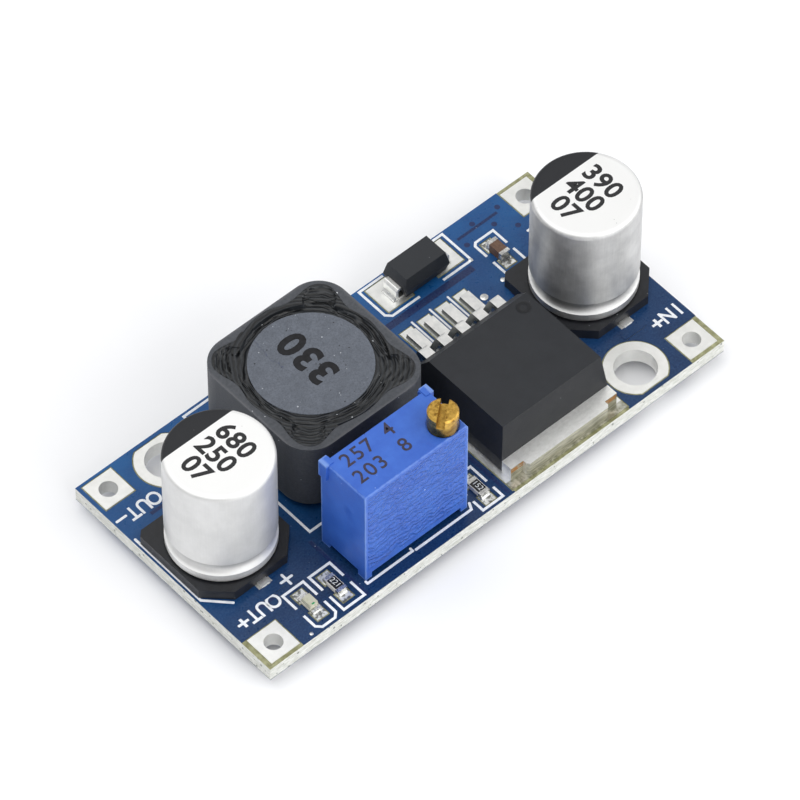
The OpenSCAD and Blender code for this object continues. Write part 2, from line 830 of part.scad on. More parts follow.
module diode_shell() {
    half_x = diode_length / 2;
    half_y = diode_width / 2;
    top = diode_bottom + diode_height;
    draft = diode_draft;
    at_diode() crossed_profiles(
        [[-half_x + draft, diode_bottom], [half_x - draft, diode_bottom], [half_x, diode_parting],
         [half_x - draft, top], [-half_x + draft, top], [-half_x, diode_parting]],
        [[-half_y + draft, diode_bottom], [half_y - draft, diode_bottom], [half_y, diode_parting],
         [half_y - draft, top], [-half_y + draft, top], [-half_y, diode_parting]],
        3 * diode_length);
}

module diode_lead_solids() {
    t = diode_lead_thickness;
    root = diode_length / 2 - 0.6;
    outer = diode_length / 2 + diode_lead_reach - t / 2;
    low = land_top + t / 2;
    at_diode()
        both_ends() rotate(-90)
            bent_strip([
                [root, diode_parting], [outer - 0.12, diode_parting],
                [outer, diode_parting - 0.12], [outer, low],
                [diode_length / 2 - 0.9, low]
            ], t, diode_lead_width);
}

module diode_body() {
    color([0.14, 0.14, 0.15])
    difference() {
        diode_shell();
        diode_lead_solids();
    }
}

module diode_terminals() color([0.86, 0.86, 0.83]) diode_lead_solids();

// ---- Chip parts ----

// Core block of a chip part between its metal ends' wraps
module chip_core(place, height) {
    inner = chip_length - 2 * chip_wrap;
    translate([place[0] - chip_width / 2, place[1] - inner / 2, land_top + chip_wrap])
        cube([chip_width, inner, height - 2 * chip_wrap]);
}

// Metal ends: caps that wrap the core on five sides
module chip_ends(place, height) {
    wide = chip_width + 2 * chip_wrap;
    translate([place[0], place[1], land_top])
        difference() {
            both_ends()
                translate([-wide / 2, chip_length / 2 - chip_end, 0])
                    cube([wide, chip_end, height]);
            translate([-chip_width / 2, -chip_length / 2 + chip_wrap, chip_wrap])
                cube([chip_width, chip_length - 2 * chip_wrap, height - 2 * chip_wrap]);
        }
}

// Glaze on a resistor's top between its ends
module chip_glaze(place) {
    bare = chip_length - 2 * chip_end - 0.04;
    top = land_top + resistor_height - chip_wrap;
    translate([place[0] - chip_width / 2 + 0.05, place[1] - bare / 2, top])
        cube([chip_width - 0.1, bare, glaze_thickness]);
}

module lamp_resistor_body() {
    color([0.93, 0.93, 0.9]) chip_core(lamp_resistor_place, resistor_height);
}

module lamp_resistor_glaze() color([0.1, 0.1, 0.1]) chip_glaze(lamp_resistor_place);

module lamp_resistor_ends() {
    color([0.85, 0.85, 0.83]) chip_ends(lamp_resistor_place, resistor_height);
}

module feedback_resistor_body() {
    color([0.93, 0.93, 0.9]) chip_core(feedback_place, resistor_height);
}

module feedback_resistor_glaze() color([0.1, 0.1, 0.1]) chip_glaze(feedback_place);

module feedback_resistor_ends() {
    color([0.85, 0.85, 0.83]) chip_ends(feedback_place, resistor_height);
}

module chip_cap_body() {
    color([0.55, 0.38, 0.25]) chip_core(chip_cap_place, chip_cap_height);
}

module chip_cap_ends() {
    color([0.85, 0.85, 0.83]) chip_ends(chip_cap_place, chip_cap_height);
}

// Indicator lamp: a flat base, two metal ends and a clear block on top
module lamp_base() {
    color([0.9, 0.9, 0.85]) chip_core(lamp_place, lamp_base_height);
}

module lamp_ends() {
    color([0.86, 0.86, 0.8]) chip_ends(lamp_place, lamp_base_height);
}

module lamp_lens() {
    half_x = chip_width / 2 - 0.03;
    half_y = chip_length / 2 - chip_end;
    low = land_top + lamp_base_height;
    top = low + lamp_lens_height;
    color([0.95, 0.97, 0.93])
    translate([lamp_place[0], lamp_place[1], 0])
        crossed_profiles(
            [[-half_x, low], [half_x, low], [half_x - 0.03, top], [-half_x + 0.03, top]],
            [[-half_y, low], [half_y, low], [half_y - 0.06, top], [-half_y + 0.06, top]],
            3 * chip_length);
}

// ---- Trimmer ----

// Upright outline of the housing with its two top corners cut
function chamfered_outline(left, right) = [
    [left, housing_bottom], [right, housing_bottom],
    [right, trimmer_height - trimmer_chamfer], [right - trimmer_chamfer, trimmer_height],
    [left + trimmer_chamfer, trimmer_height], [left, trimmer_height - trimmer_chamfer]
];

// Moulded housing, open at the rear, with feet, lugs and a post for the wheel
module trimmer_housing() {
    inner_x = half_width - trimmer_wall;
    color([0.27, 0.42, 0.85])
    at_trimmer()
    difference() {
        union() {
            difference() {
                union() {
                    crossed_profiles(
                        chamfered_outline(-half_width, half_width),
                        chamfered_outline(front_y, rear_y), 3 * trimmer_width);
                    for (s = [-1, 1])
                        translate([s * (half_width + lug_reach - 0.35) - 0.35,
                                   rear_y - 0.8, trimmer_height - lug_height])
                            cube([0.7, 0.8, lug_height + 0.08]);
                }
                // Cavity for the drive, from behind the front wall to the rear
                translate([-inner_x, front_y + trimmer_wall, cavity_bottom])
                    cube([2 * inner_x, trimmer_depth, cavity_top - cavity_bottom]);
                // Wider mouth that takes the element and the resin
                translate([-inner_x, element_front, housing_bottom + 0.3])
                    cube([2 * inner_x, trimmer_depth, trimmer_height - housing_bottom - 0.8]);
                // Step in the rear edge between the lugs
                translate([-half_width + 0.55, rear_y - rear_step, cavity_top + 1])
                    cube([trimmer_width - 1.1, rear_step + 1, trimmer_height]);
                // Screw bore, wide below for the sealing ring and the worm
                translate([screw_x, screw_y, 0])
                    cylinder(r = worm_core + 0.25, h = trimmer_height);
                translate([screw_x, screw_y, cavity_top - 0.1])
                    cylinder(d = journal + 2 * running_play, h = trimmer_height);
                // Slots for the pins through the floor
                for (i = [-1 : 1])
                    translate([i * pin_pitch, pin_y, 0])
                        cylinder(r = pin_diameter / 2 + 0.02, h = pin_top + 1);
            }
            // Post that carries the wheel, and the boss that keeps it off the wall
            translate([wheel_x, front_y + trimmer_wall - 0.05, wheel_z])
                rotate([-90, 0, 0]) {
                    cylinder(d = wheel_post, h = rotor_back - front_y - trimmer_wall + 0.05);
                    cylinder(d = wheel_post + 1, h = wheel_front - front_y - trimmer_wall - 0.02);
                }
            // Floor under the screw, which its tip stands in
            translate([screw_x, screw_y, housing_bottom])
                cylinder(r = worm_core + 0.3, h = 0.35);
            // Feet at the four corners
            for (sx = [-1, 1], sy = [-1, 1])
                translate([sx * (half_width - trimmer_foot_length / 2) - trimmer_foot_length / 2,
                           sy * (rear_y - 0.4) - 0.4, 0])
                    cube([trimmer_foot_length, 0.8, housing_bottom + 0.01]);
        }
        // Shallow round recess at the foot of the screw's head
        translate([screw_x, screw_y, trimmer_height - 0.08])
            cylinder(d = screw_head + 0.16, h = 1);
    }
}

// Slotted screw: head, journal with a seal groove, worm core and tip
module trimmer_screw() {
    head_bottom = trimmer_height - 0.03;
    head_height = screw_rise + 0.03;
    top = trimmer_height + screw_rise;
    color([0.8, 0.63, 0.3])
    at_trimmer() translate([screw_x, screw_y, 0])
    difference() {
        union() {
            translate([0, 0, head_bottom]) cylinder(d = screw_head, h = head_height - 0.12);
            translate([0, 0, top - 0.13])
                cylinder(d1 = screw_head, d2 = screw_head - 0.24, h = 0.13);
            translate([0, 0, cavity_top + 0.05])
                cylinder(d = journal, h = head_bottom - cavity_top);
            translate([0, 0, housing_bottom + 0.4])
                cylinder(r = worm_core, h = cavity_top - housing_bottom);
        }
        rotate(slot_angle)
            translate([-screw_head, -slot_width / 2, top - slot_depth])
                cube([2 * screw_head, slot_width, slot_depth + 1]);
        translate([0, 0, seal_z])
            rotate_extrude()
                translate([journal / 2, 0])
                    square([2 * seal_cord + 0.02, 2 * seal_cord + 0.04], center = true);
    }
}

module trimmer_seal() {
    color([0.12, 0.12, 0.12])
    at_trimmer() translate([screw_x, screw_y, seal_z])
        rotate_extrude()
            translate([journal / 2, 0])
                intersection() {
                    circle(seal_cord);
                    translate([-1, -1]) square([1 + running_play - 0.015, 2]);
                }
}

// Toothed wheel that the worm turns; its teeth are plain trapezoids
module wheel_plan() {
    step = 360 / wheel_teeth;
    polygon([
        for (i = [0 : wheel_teeth - 1])
            for (corner = [[-0.30, wheel_root], [-0.14, wheel_tip], [0.14, wheel_tip], [0.30, wheel_root]])
                let (a = (i + corner[0]) * step)
                corner[1] * [cos(a), sin(a)]
    ]);
}

module trimmer_wheel() {
    bore = wheel_post / 2 + running_play;
    color([0.9, 0.88, 0.8])
    at_trimmer() translate([wheel_x, wheel_front, wheel_z])
        rotate([-90, 0, 0])
            difference() {
                union() {
                    linear_extrude(wheel_width) wheel_plan();
                    cylinder(r = rotor_radius, h = rotor_back - wheel_front);
                }
                translate([0, 0, -1]) cylinder(r = bore, h = trimmer_depth);
            }
}

// Spring plate on the rotor's back with two fingers towards the element
module trimmer_wiper() {
    reach = rotor_radius - 0.1;
    color([0.85, 0.7, 0.4])
    at_trimmer() translate([wheel_x, rotor_back, wheel_z])
        rotate([-90, 0, 0])
        difference() {
            union() {
                cylinder(d = wheel_post + 1.6, h = wiper_thickness);
                translate([0, -0.5, 0]) cube([reach, 1, wiper_thickness]);
                for (s = [-1, 1])
                    translate([reach - 0.3, s * 0.3 - 0.15, 0])
                        cube([0.3, 0.3, wiper_finger]);
            }
            translate([0, 0, -1]) cylinder(d = wheel_post + 2 * running_play, h = 3);
        }
}

// Ceramic plate that carries the track, with the film on its inner face
module trimmer_element() {
    inner_x = half_width - trimmer_wall - element_play;
    bottom = pin_top;
    top = trimmer_height - 0.5 - element_play;
    color([0.92, 0.92, 0.88])
    at_trimmer()
        translate([-inner_x, element_front + 0.005, bottom])
            cube([2 * inner_x, element_thickness - 0.005, top - bottom]);
}

module trimmer_pins() {
    color([0.88, 0.88, 0.85])
    at_trimmer()
        for (i = [-1 : 1])
            translate([i * pin_pitch, pin_y, -board_top - pin_reach])
                cylinder(d = pin_diameter, h = board_top + pin_reach + pin_top);
}

module trimmer_resin() {
    inner_x = half_width - trimmer_wall - 0.01;
    bottom = housing_bottom + 0.31;
    color([0.2, 0.3, 0.62])
    at_trimmer()
        translate([-inner_x, resin_front + 0.005, bottom])
            difference() {
                cube([2 * inner_x, resin_thickness, trimmer_height - 0.51 - bottom]);
                translate([-1, resin_thickness + resin_front - rear_y + rear_step, cavity_top + 1 - bottom])
                    cube([2 * half_width + 2, 3, 3]);
            }
}

// ---- Solder ----

module solder_fillets() {
    color([0.83, 0.83, 0.8]) {
        // Fillets at the toes of the regulator's leads
        for (x = lead_offsets)
            translate([regulator_x + x, toe_y, land_top])
                solder_fillet(lead_width, min(fillet_radius, lead_thickness));
        // Fillets outside the diode's terminals
        at_diode() both_ends() rotate(-90)
            translate([0, diode_length / 2 + diode_lead_reach, land_top])
                solder_fillet(diode_lead_width, 1.4 * fillet_radius);
        // Fillets at both ends of each chip part
        for (p = chip_places)
            translate([p[0], p[1], land_top])
                both_ends() translate([0, chip_length / 2, 0])
                    solder_fillet(chip_width, chip_fillet(p));
        // Fillets at the ends of the capacitors' leads
        for (x = [input_cap_x, output_cap_x])
            translate([x, cap_offset, land_top])
                both_ends() translate([0, base_size / 2 + can_lead_reach, 0])
                    solder_fillet(can_lead_width, can_lead_thickness);
        // Fillets outside the inductor's clips
        at_inductor() translate([0, 0, land_top])
            both_ends() translate([0, shield_size / 2 + clip_thickness, 0])
                solder_fillet(clip_width, fillet_radius);
    }
}

// Cones of solder round the trimmer's pins, under the board
module pin_solder() {
    color([0.83, 0.83, 0.8])
    for (p = pin_places())
        translate([p[0], p[1], -land_rise - cone_height])
            difference() {
                cylinder(r1 = pin_diameter / 2 + 0.1, r2 = pin_land / 2 - 0.08, h = cone_height);
                translate([0, 0, -1]) cylinder(d = pin_diameter, h = cone_height + 2);
            }
}

// A fillet climbs no higher than the metal end that it wets
function chip_fillet(place) =
    place == lamp_place ? min(fillet_radius, lamp_base_height) : fillet_radius;

circuit_board();
solder_mask_top();
solder_mask_bottom();
terminal_pads();
mounting_rings();
component_lands();
trimmer_lands();
solder_fillets();
pin_solder();
input_cap_can();
input_cap_base();
input_cap_leads();
output_cap_can();
output_cap_base();
output_cap_leads();
inductor_shield();
inductor_drum();
inductor_winding();
inductor_glue();
inductor_plate_sheet();
inductor_clips();
regulator_body();
regulator_tab();
regulator_leads();
diode_body();
diode_terminals();
trimmer_housing();
trimmer_screw();
trimmer_seal();
trimmer_wheel();
trimmer_wiper();
trimmer_element();
trimmer_pins();
trimmer_resin();
lamp_base();
lamp_lens();
lamp_ends();
lamp_resistor_body();
lamp_resistor_glaze();
lamp_resistor_ends();
feedback_resistor_body();
feedback_resistor_glaze();
feedback_resistor_ends();
chip_cap_body();
chip_cap_ends();
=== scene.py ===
import bpy
import bmesh
import itertools
import math
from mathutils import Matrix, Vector, noise


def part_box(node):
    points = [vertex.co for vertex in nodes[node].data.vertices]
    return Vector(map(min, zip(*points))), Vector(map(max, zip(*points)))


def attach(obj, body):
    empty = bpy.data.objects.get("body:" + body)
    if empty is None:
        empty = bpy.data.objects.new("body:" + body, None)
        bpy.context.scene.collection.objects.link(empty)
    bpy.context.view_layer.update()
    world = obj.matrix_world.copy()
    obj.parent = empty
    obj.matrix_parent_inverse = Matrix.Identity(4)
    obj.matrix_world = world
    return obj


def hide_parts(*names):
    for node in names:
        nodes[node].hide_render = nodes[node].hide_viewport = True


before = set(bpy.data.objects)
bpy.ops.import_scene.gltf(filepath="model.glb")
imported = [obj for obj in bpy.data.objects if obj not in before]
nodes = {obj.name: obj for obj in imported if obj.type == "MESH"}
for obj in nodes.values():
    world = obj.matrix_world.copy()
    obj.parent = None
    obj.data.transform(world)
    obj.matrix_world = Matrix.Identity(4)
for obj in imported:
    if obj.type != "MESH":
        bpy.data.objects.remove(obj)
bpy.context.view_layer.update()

mm = 0.001


def lowHigh(node):
    # corners of a CAD node, in millimetres
    low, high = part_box(node)
    return Vector(low) / mm, Vector(high) / mm


def middle(node):
    low, high = lowHigh(node)
    return (low + high) / 2


# modelling by hand: picking, edit mode, and places that go into the mesh
def pickNone():
    if bpy.context.object and bpy.context.object.mode != "OBJECT":
        bpy.ops.object.mode_set(mode="OBJECT")
    bpy.ops.object.select_all(action="DESELECT")


def pickOnly(*objects):
    pickNone()
    for o in objects:
        o.select_set(True)
    bpy.context.view_layer.objects.active = objects[0]
    return objects[0]


def editOn():
    bpy.ops.object.mode_set(mode="EDIT")
    bpy.ops.mesh.select_mode(type="VERT")
    bpy.ops.mesh.select_all(action="SELECT")


def editOff():
    bpy.ops.object.mode_set(mode="OBJECT")


def pickVerts(test):
    # in edit mode, the vertices whose place (mm) passes the test
    bpy.ops.mesh.select_mode(type="VERT")
    bm = bmesh.from_edit_mesh(bpy.context.object.data)
    for v in bm.verts:
        v.select_set(bool(test(v.co / mm)))
    bm.select_flush(True)
    bmesh.update_edit_mesh(bpy.context.object.data)


def pickFaces(test):
    # in edit mode, the faces whose centre (mm) passes the test
    bpy.ops.mesh.select_mode(type="FACE")
    bm = bmesh.from_edit_mesh(bpy.context.object.data)
    for face in bm.faces:
        face.select_set(bool(test(face.calc_center_median() / mm)))
    bmesh.update_edit_mesh(bpy.context.object.data)


def settle():
    # the object's place, turn and size go into its mesh
    bpy.ops.object.transform_apply(location=True, rotation=True, scale=True)


def putAt(piece, x, y, z, turn=0.0):
    # place in millimetres, turn about the upright axis in degrees
    piece.rotation_euler[2] = math.radians(turn)
    piece.location = (x * mm, y * mm, z * mm)
    settle()


def raiseBy(height):
    # extrudes what is picked straight up, in millimetres
    bpy.ops.mesh.extrude_region_move(TRANSFORM_OT_translate={"value": (0, 0, height * mm)})


def cleanShell(gap=0.0005):
    # merges points closer than gap (mm) and turns every face outwards
    editOn()
    bpy.ops.mesh.remove_doubles(threshold=gap * mm)
    bpy.ops.mesh.select_all(action="SELECT")
    bpy.ops.mesh.normals_make_consistent(inside=False)
    editOff()


def flatPlate(width, depth, spot=(0, 0, 0)):
    # a flat rectangle in millimetres, left in edit mode
    pickNone()
    bpy.ops.mesh.primitive_plane_add(size=mm, location=[c * mm for c in spot])
    plate = bpy.context.object
    plate.scale = (width, depth, 1)
    settle()
    editOn()
    return plate


def thicken(thick):
    # from a flat outline in edit mode to a closed plate
    bpy.ops.mesh.select_all(action="SELECT")
    raiseBy(thick)
    editOff()
    cleanShell()


def joinPieces(pieces, name):
    piece = pickOnly(*pieces)
    if len(pieces) > 1:
        bpy.ops.object.join()
    piece.name = piece.data.name = name
    return piece


def fitOut(piece, finish):
    # last step for every new piece: its finish and the body that it rides on
    piece.data.materials.clear()
    piece.data.materials.append(finishes[finish])
    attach(piece, "board")


# materials are built from nodes, with every place in millimetres
def addNode(tree, kind, sockets=None, **settings):
    # sockets takes plain values or other nodes' outputs, by name or by number
    n = tree.nodes.new("ShaderNode" + kind)
    for k, v in settings.items():
        setattr(n, k, v)
    for k, v in (sockets or {}).items():
        if isinstance(v, bpy.types.NodeSocket):
            tree.links.new(v, n.inputs[k])
        else:
            n.inputs[k].default_value = v
    return n


def calc(tree, operation, a, b=0.0, c=0.0, clamp=False):
    return addNode(tree, "Math", {0: a, 1: b, 2: c}, operation=operation, use_clamp=clamp).outputs[0]


def blendTwo(tree, mask, a, b):
    return addNode(tree, "Mix", {0: mask, 6: a, 7: b}, data_type="RGBA").outputs[2]


def awayFrom(tree, place, spot):
    # distance from an upright axis through the spot
    away = addNode(tree, "VectorMath", {0: place, 1: spot}, operation="SUBTRACT")
    away = addNode(tree, "VectorMath", {0: away.outputs[0], 1: (1, 1, 0)}, operation="MULTIPLY")
    return addNode(tree, "VectorMath", {0: away.outputs[0]}, operation="LENGTH").outputs[1]


def colour(r, g, b):
    # from 0-255 screen values
    def linear(c):
        c /= 255
        return c / 12.92 if c <= 0.04045 else ((c + 0.055) / 1.055) ** 2.4
    return (linear(r), linear(g), linear(b), 1.0)


def newGroup(name, **takes):
    # an effect that reads a place and these values, and gives one mask from 0 to 1
    g = bpy.data.node_groups.new(name, "ShaderNodeTree")
    g.interface.new_socket("Place", in_out="INPUT", socket_type="NodeSocketVector")
    for label, value in takes.items():
        kind = "NodeSocketFloat" if isinstance(value, float) else "NodeSocketVector"
        g.interface.new_socket(label, in_out="INPUT", socket_type=kind).default_value = value
    g.interface.new_socket("Mask", in_out="OUTPUT", socket_type="NodeSocketFloat")
    return g, g.nodes.new("NodeGroupInput").outputs, g.nodes.new("NodeGroupOutput").inputs[0]


def boxDepths(tree, takes):
    # how deep a place lies inside the box, along x, y and z
    up = addNode(tree, "VectorMath", {0: takes["Place"], 1: takes["Low"]}, operation="SUBTRACT")
    down = addNode(tree, "VectorMath", {0: takes["High"], 1: takes["Place"]}, operation="SUBTRACT")
    least = addNode(tree, "VectorMath", {0: up.outputs[0], 1: down.outputs[0]}, operation="MINIMUM")
    return addNode(tree, "SeparateXYZ", {0: least.outputs[0]}).outputs


# cloudy tone, with its middle kept near a half
patchyTone, takes, mask = newGroup("patchyTone", Scale=1.0, Contrast=2.0)
cloud = addNode(patchyTone, "TexNoise", {"Vector": takes["Place"], "Scale": takes["Scale"],
                                         "Detail": 5.0, "Roughness": 0.6})
s = calc(patchyTone, "SUBTRACT", cloud.outputs[0], 0.5)
s = calc(patchyTone, "MULTIPLY_ADD", s, takes["Contrast"], 0.5, clamp=True)
patchyTone.links.new(s, mask)

# scattered specks of uneven size, 1 on a speck
dustSpecks, takes, mask = newGroup("dustSpecks", Scale=4.0, Size=0.1)
cells = addNode(dustSpecks, "TexVoronoi", {"Vector": takes["Place"], "Scale": takes["Scale"]})
uneven = addNode(dustSpecks, "TexNoise", {"Vector": takes["Place"], "Scale": 0.9, "Detail": 2.0})
s = calc(dustSpecks, "MULTIPLY_ADD", uneven.outputs[0], 4.0, -1.2)
s = calc(dustSpecks, "MULTIPLY", takes["Size"], s)
s = calc(dustSpecks, "SUBTRACT", s, cells.outputs["Distance"])
s = calc(dustSpecks, "MULTIPLY", s, 30.0, clamp=True)
dustSpecks.links.new(s, mask)

# 1 inside an upright box
boxArea, takes, mask = newGroup("boxArea", Low=(0, 0, 0), High=(1, 1, 1), Soft=0.05)
x, y, z = boxDepths(boxArea, takes)
s = calc(boxArea, "MINIMUM", calc(boxArea, "MINIMUM", x, y), z)
s = calc(boxArea, "DIVIDE", s, takes["Soft"], clamp=True)
boxArea.links.new(s, mask)

# 1 inside an upright round column
roundArea, takes, mask = newGroup("roundArea", Centre=(0, 0, 0), Radius=1.0, Soft=0.05)
s = calc(roundArea, "SUBTRACT", takes["Radius"], awayFrom(roundArea, takes["Place"], takes["Centre"]))
s = calc(roundArea, "DIVIDE", s, takes["Soft"], clamp=True)
roundArea.links.new(s, mask)

# painted highlight along the edges of a box-shaped piece: 1 where two of its sides meet, and everywhere
# outside the box
edgeHighlight, takes, mask = newGroup("edgeHighlight", Low=(0, 0, 0), High=(1, 1, 1), Width=0.15)
x, y, z = boxDepths(edgeHighlight, takes)
lowPair = calc(edgeHighlight, "MINIMUM", x, y)
highPair = calc(edgeHighlight, "MAXIMUM", x, y)
second = calc(edgeHighlight, "MAXIMUM", lowPair, calc(edgeHighlight, "MINIMUM", highPair, z))
fray = addNode(edgeHighlight, "TexNoise", {"Vector": takes["Place"], "Scale": 2.2, "Detail": 6.0})
wide = calc(edgeHighlight, "MULTIPLY", takes["Width"], calc(edgeHighlight, "MULTIPLY", fray.outputs[0], 2.0))
s = calc(edgeHighlight, "SUBTRACT", 1.0, calc(edgeHighlight, "DIVIDE", second, wide), clamp=True)
edgeHighlight.links.new(s, mask)
print("shared effects ready")

finishes = {}


class Finish:
    # one material under way: its tree, its shader and its place in millimetres
    def __init__(self, name, metal=0.0, coat=0.0, coatRough=0.1, ior=1.5):
        material = finishes[name] = bpy.data.materials.new(name)
        material.use_nodes = True
        self.tree = material.node_tree
        self.shader = self.tree.nodes["Principled BSDF"]
        for socket, value in (("Metallic", metal), ("Coat Weight", coat), ("Coat Roughness", coatRough),
                              ("IOR", ior)):
            self.shader.inputs[socket].default_value = value
        self.coords = addNode(self.tree, "TexCoord")
        self.place = addNode(self.tree, "Mapping", {0: self.coords.outputs["Object"],
                                                    3: (1 / mm, 1 / mm, 1 / mm)}).outputs[0]

    def group(self, group, **sockets):
        return addNode(self.tree, "Group", {"Place": self.place, **sockets}, node_tree=group).outputs[0]

    def calc(self, operation, a, b=0.0, c=0.0, clamp=False):
        return calc(self.tree, operation, a, b, c, clamp)

    def times(self, a, b):
        return calc(self.tree, "MULTIPLY", a, b)

    def ramp(self, value, gain, lift):
        # value * gain + lift, kept from 0 to 1
        return calc(self.tree, "MULTIPLY_ADD", value, gain, lift, clamp=True)

    def blend(self, mask, a, b, amount=None):
        # a and b are other nodes' outputs or 0-255 screen colours
        if amount is not None:
            mask = self.times(mask, amount)
        a, b = [colour(*tone) if isinstance(tone, tuple) else tone for tone in (a, b)]
        return blendTwo(self.tree, mask, a, b)

    def cloudy(self, look):
        # two tones in clouds, with the mask that parts them
        patch = self.group(patchyTone, Scale=look["patch"], Contrast=look.get("contrast", 2.0))
        return patch, self.blend(patch, look["dark"], look["light"])

    def specked(self, tone, fleck, scale, size):
        return self.blend(self.group(dustSpecks, Scale=scale, Size=size), tone, fleck)

    def paint(self, tone):
        self.tone = tone
        self.tree.links.new(tone, self.shader.inputs["Base Color"])

    def roughness(self, mask, low, high):
        self.tree.links.new(self.calc("MULTIPLY_ADD", mask, high - low, low), self.shader.inputs["Roughness"])

    def noise(self, scale, detail=4.0, stretch=None, rough=0.55):
        place = self.place
        if stretch:
            place = addNode(self.tree, "Mapping", {0: place, 3: stretch}).outputs[0]
        return addNode(self.tree, "TexNoise", {"Vector": place, "Scale": scale, "Detail": detail,
                                               "Roughness": rough}).outputs[0]

    def bump(self, height, depth, normal=None):
        # depth in millimetres
        n = addNode(self.tree, "Bump", {"Height": height, "Strength": 1.0, "Distance": depth * mm})
        if normal is not None:
            self.tree.links.new(normal, n.inputs["Normal"])
        self.tree.links.new(n.outputs[0], self.shader.inputs["Normal"])
        return n.outputs[0]

    def along(self, axis):
        return addNode(self.tree, "SeparateXYZ", {0: self.place}).outputs[axis]

    def facing(self, axis):
        # the surface's own normal along one axis
        return addNode(self.tree, "SeparateXYZ", {0: self.coords.outputs["Normal"]}).outputs[axis]

    def onTop(self):
        return self.ramp(self.facing(2), 4.0, -2.6)

    def around(self, names, grow):
        # 1 inside the boxes of these nodes, grown by so many millimetres
        mask = None
        for node in names:
            low, high = lowHigh(node)
            box = self.group(boxArea, Low=low - Vector([grow] * 3), High=high + Vector([grow] * 3), Soft=0.1)
            mask = box if mask is None else self.calc("MAXIMUM", mask, box)
        return mask


def plainFinish(name, look):
    # two tones, specks, painted highlights along the edges, uneven gloss and a fine grain
    f = Finish(name, look.get("metal", 0.0), look.get("coat", 0.0), ior=look.get("ior", 1.5))
    patch, tone = f.cloudy(look)
    if "speck" in look:
        tone = f.specked(tone, look["speck"], look["speckScale"], look["speckSize"])
    # painted highlight along the piece's edges
    if "edgeLight" in look:
        low, high = lowHigh(look["edgeLightNode"])
        edgeLight = f.group(edgeHighlight, Low=low, High=high, Width=look["edgeLightWidth"])
        tone = f.blend(edgeLight, tone, look["edgeLight"], look["edgeLightAmount"])
    f.paint(tone)
    f.roughness(patch, *look["gloss"])
    f.bump(f.noise(look["grain"], 5.0, look.get("stretch")), look["depth"])
    return f


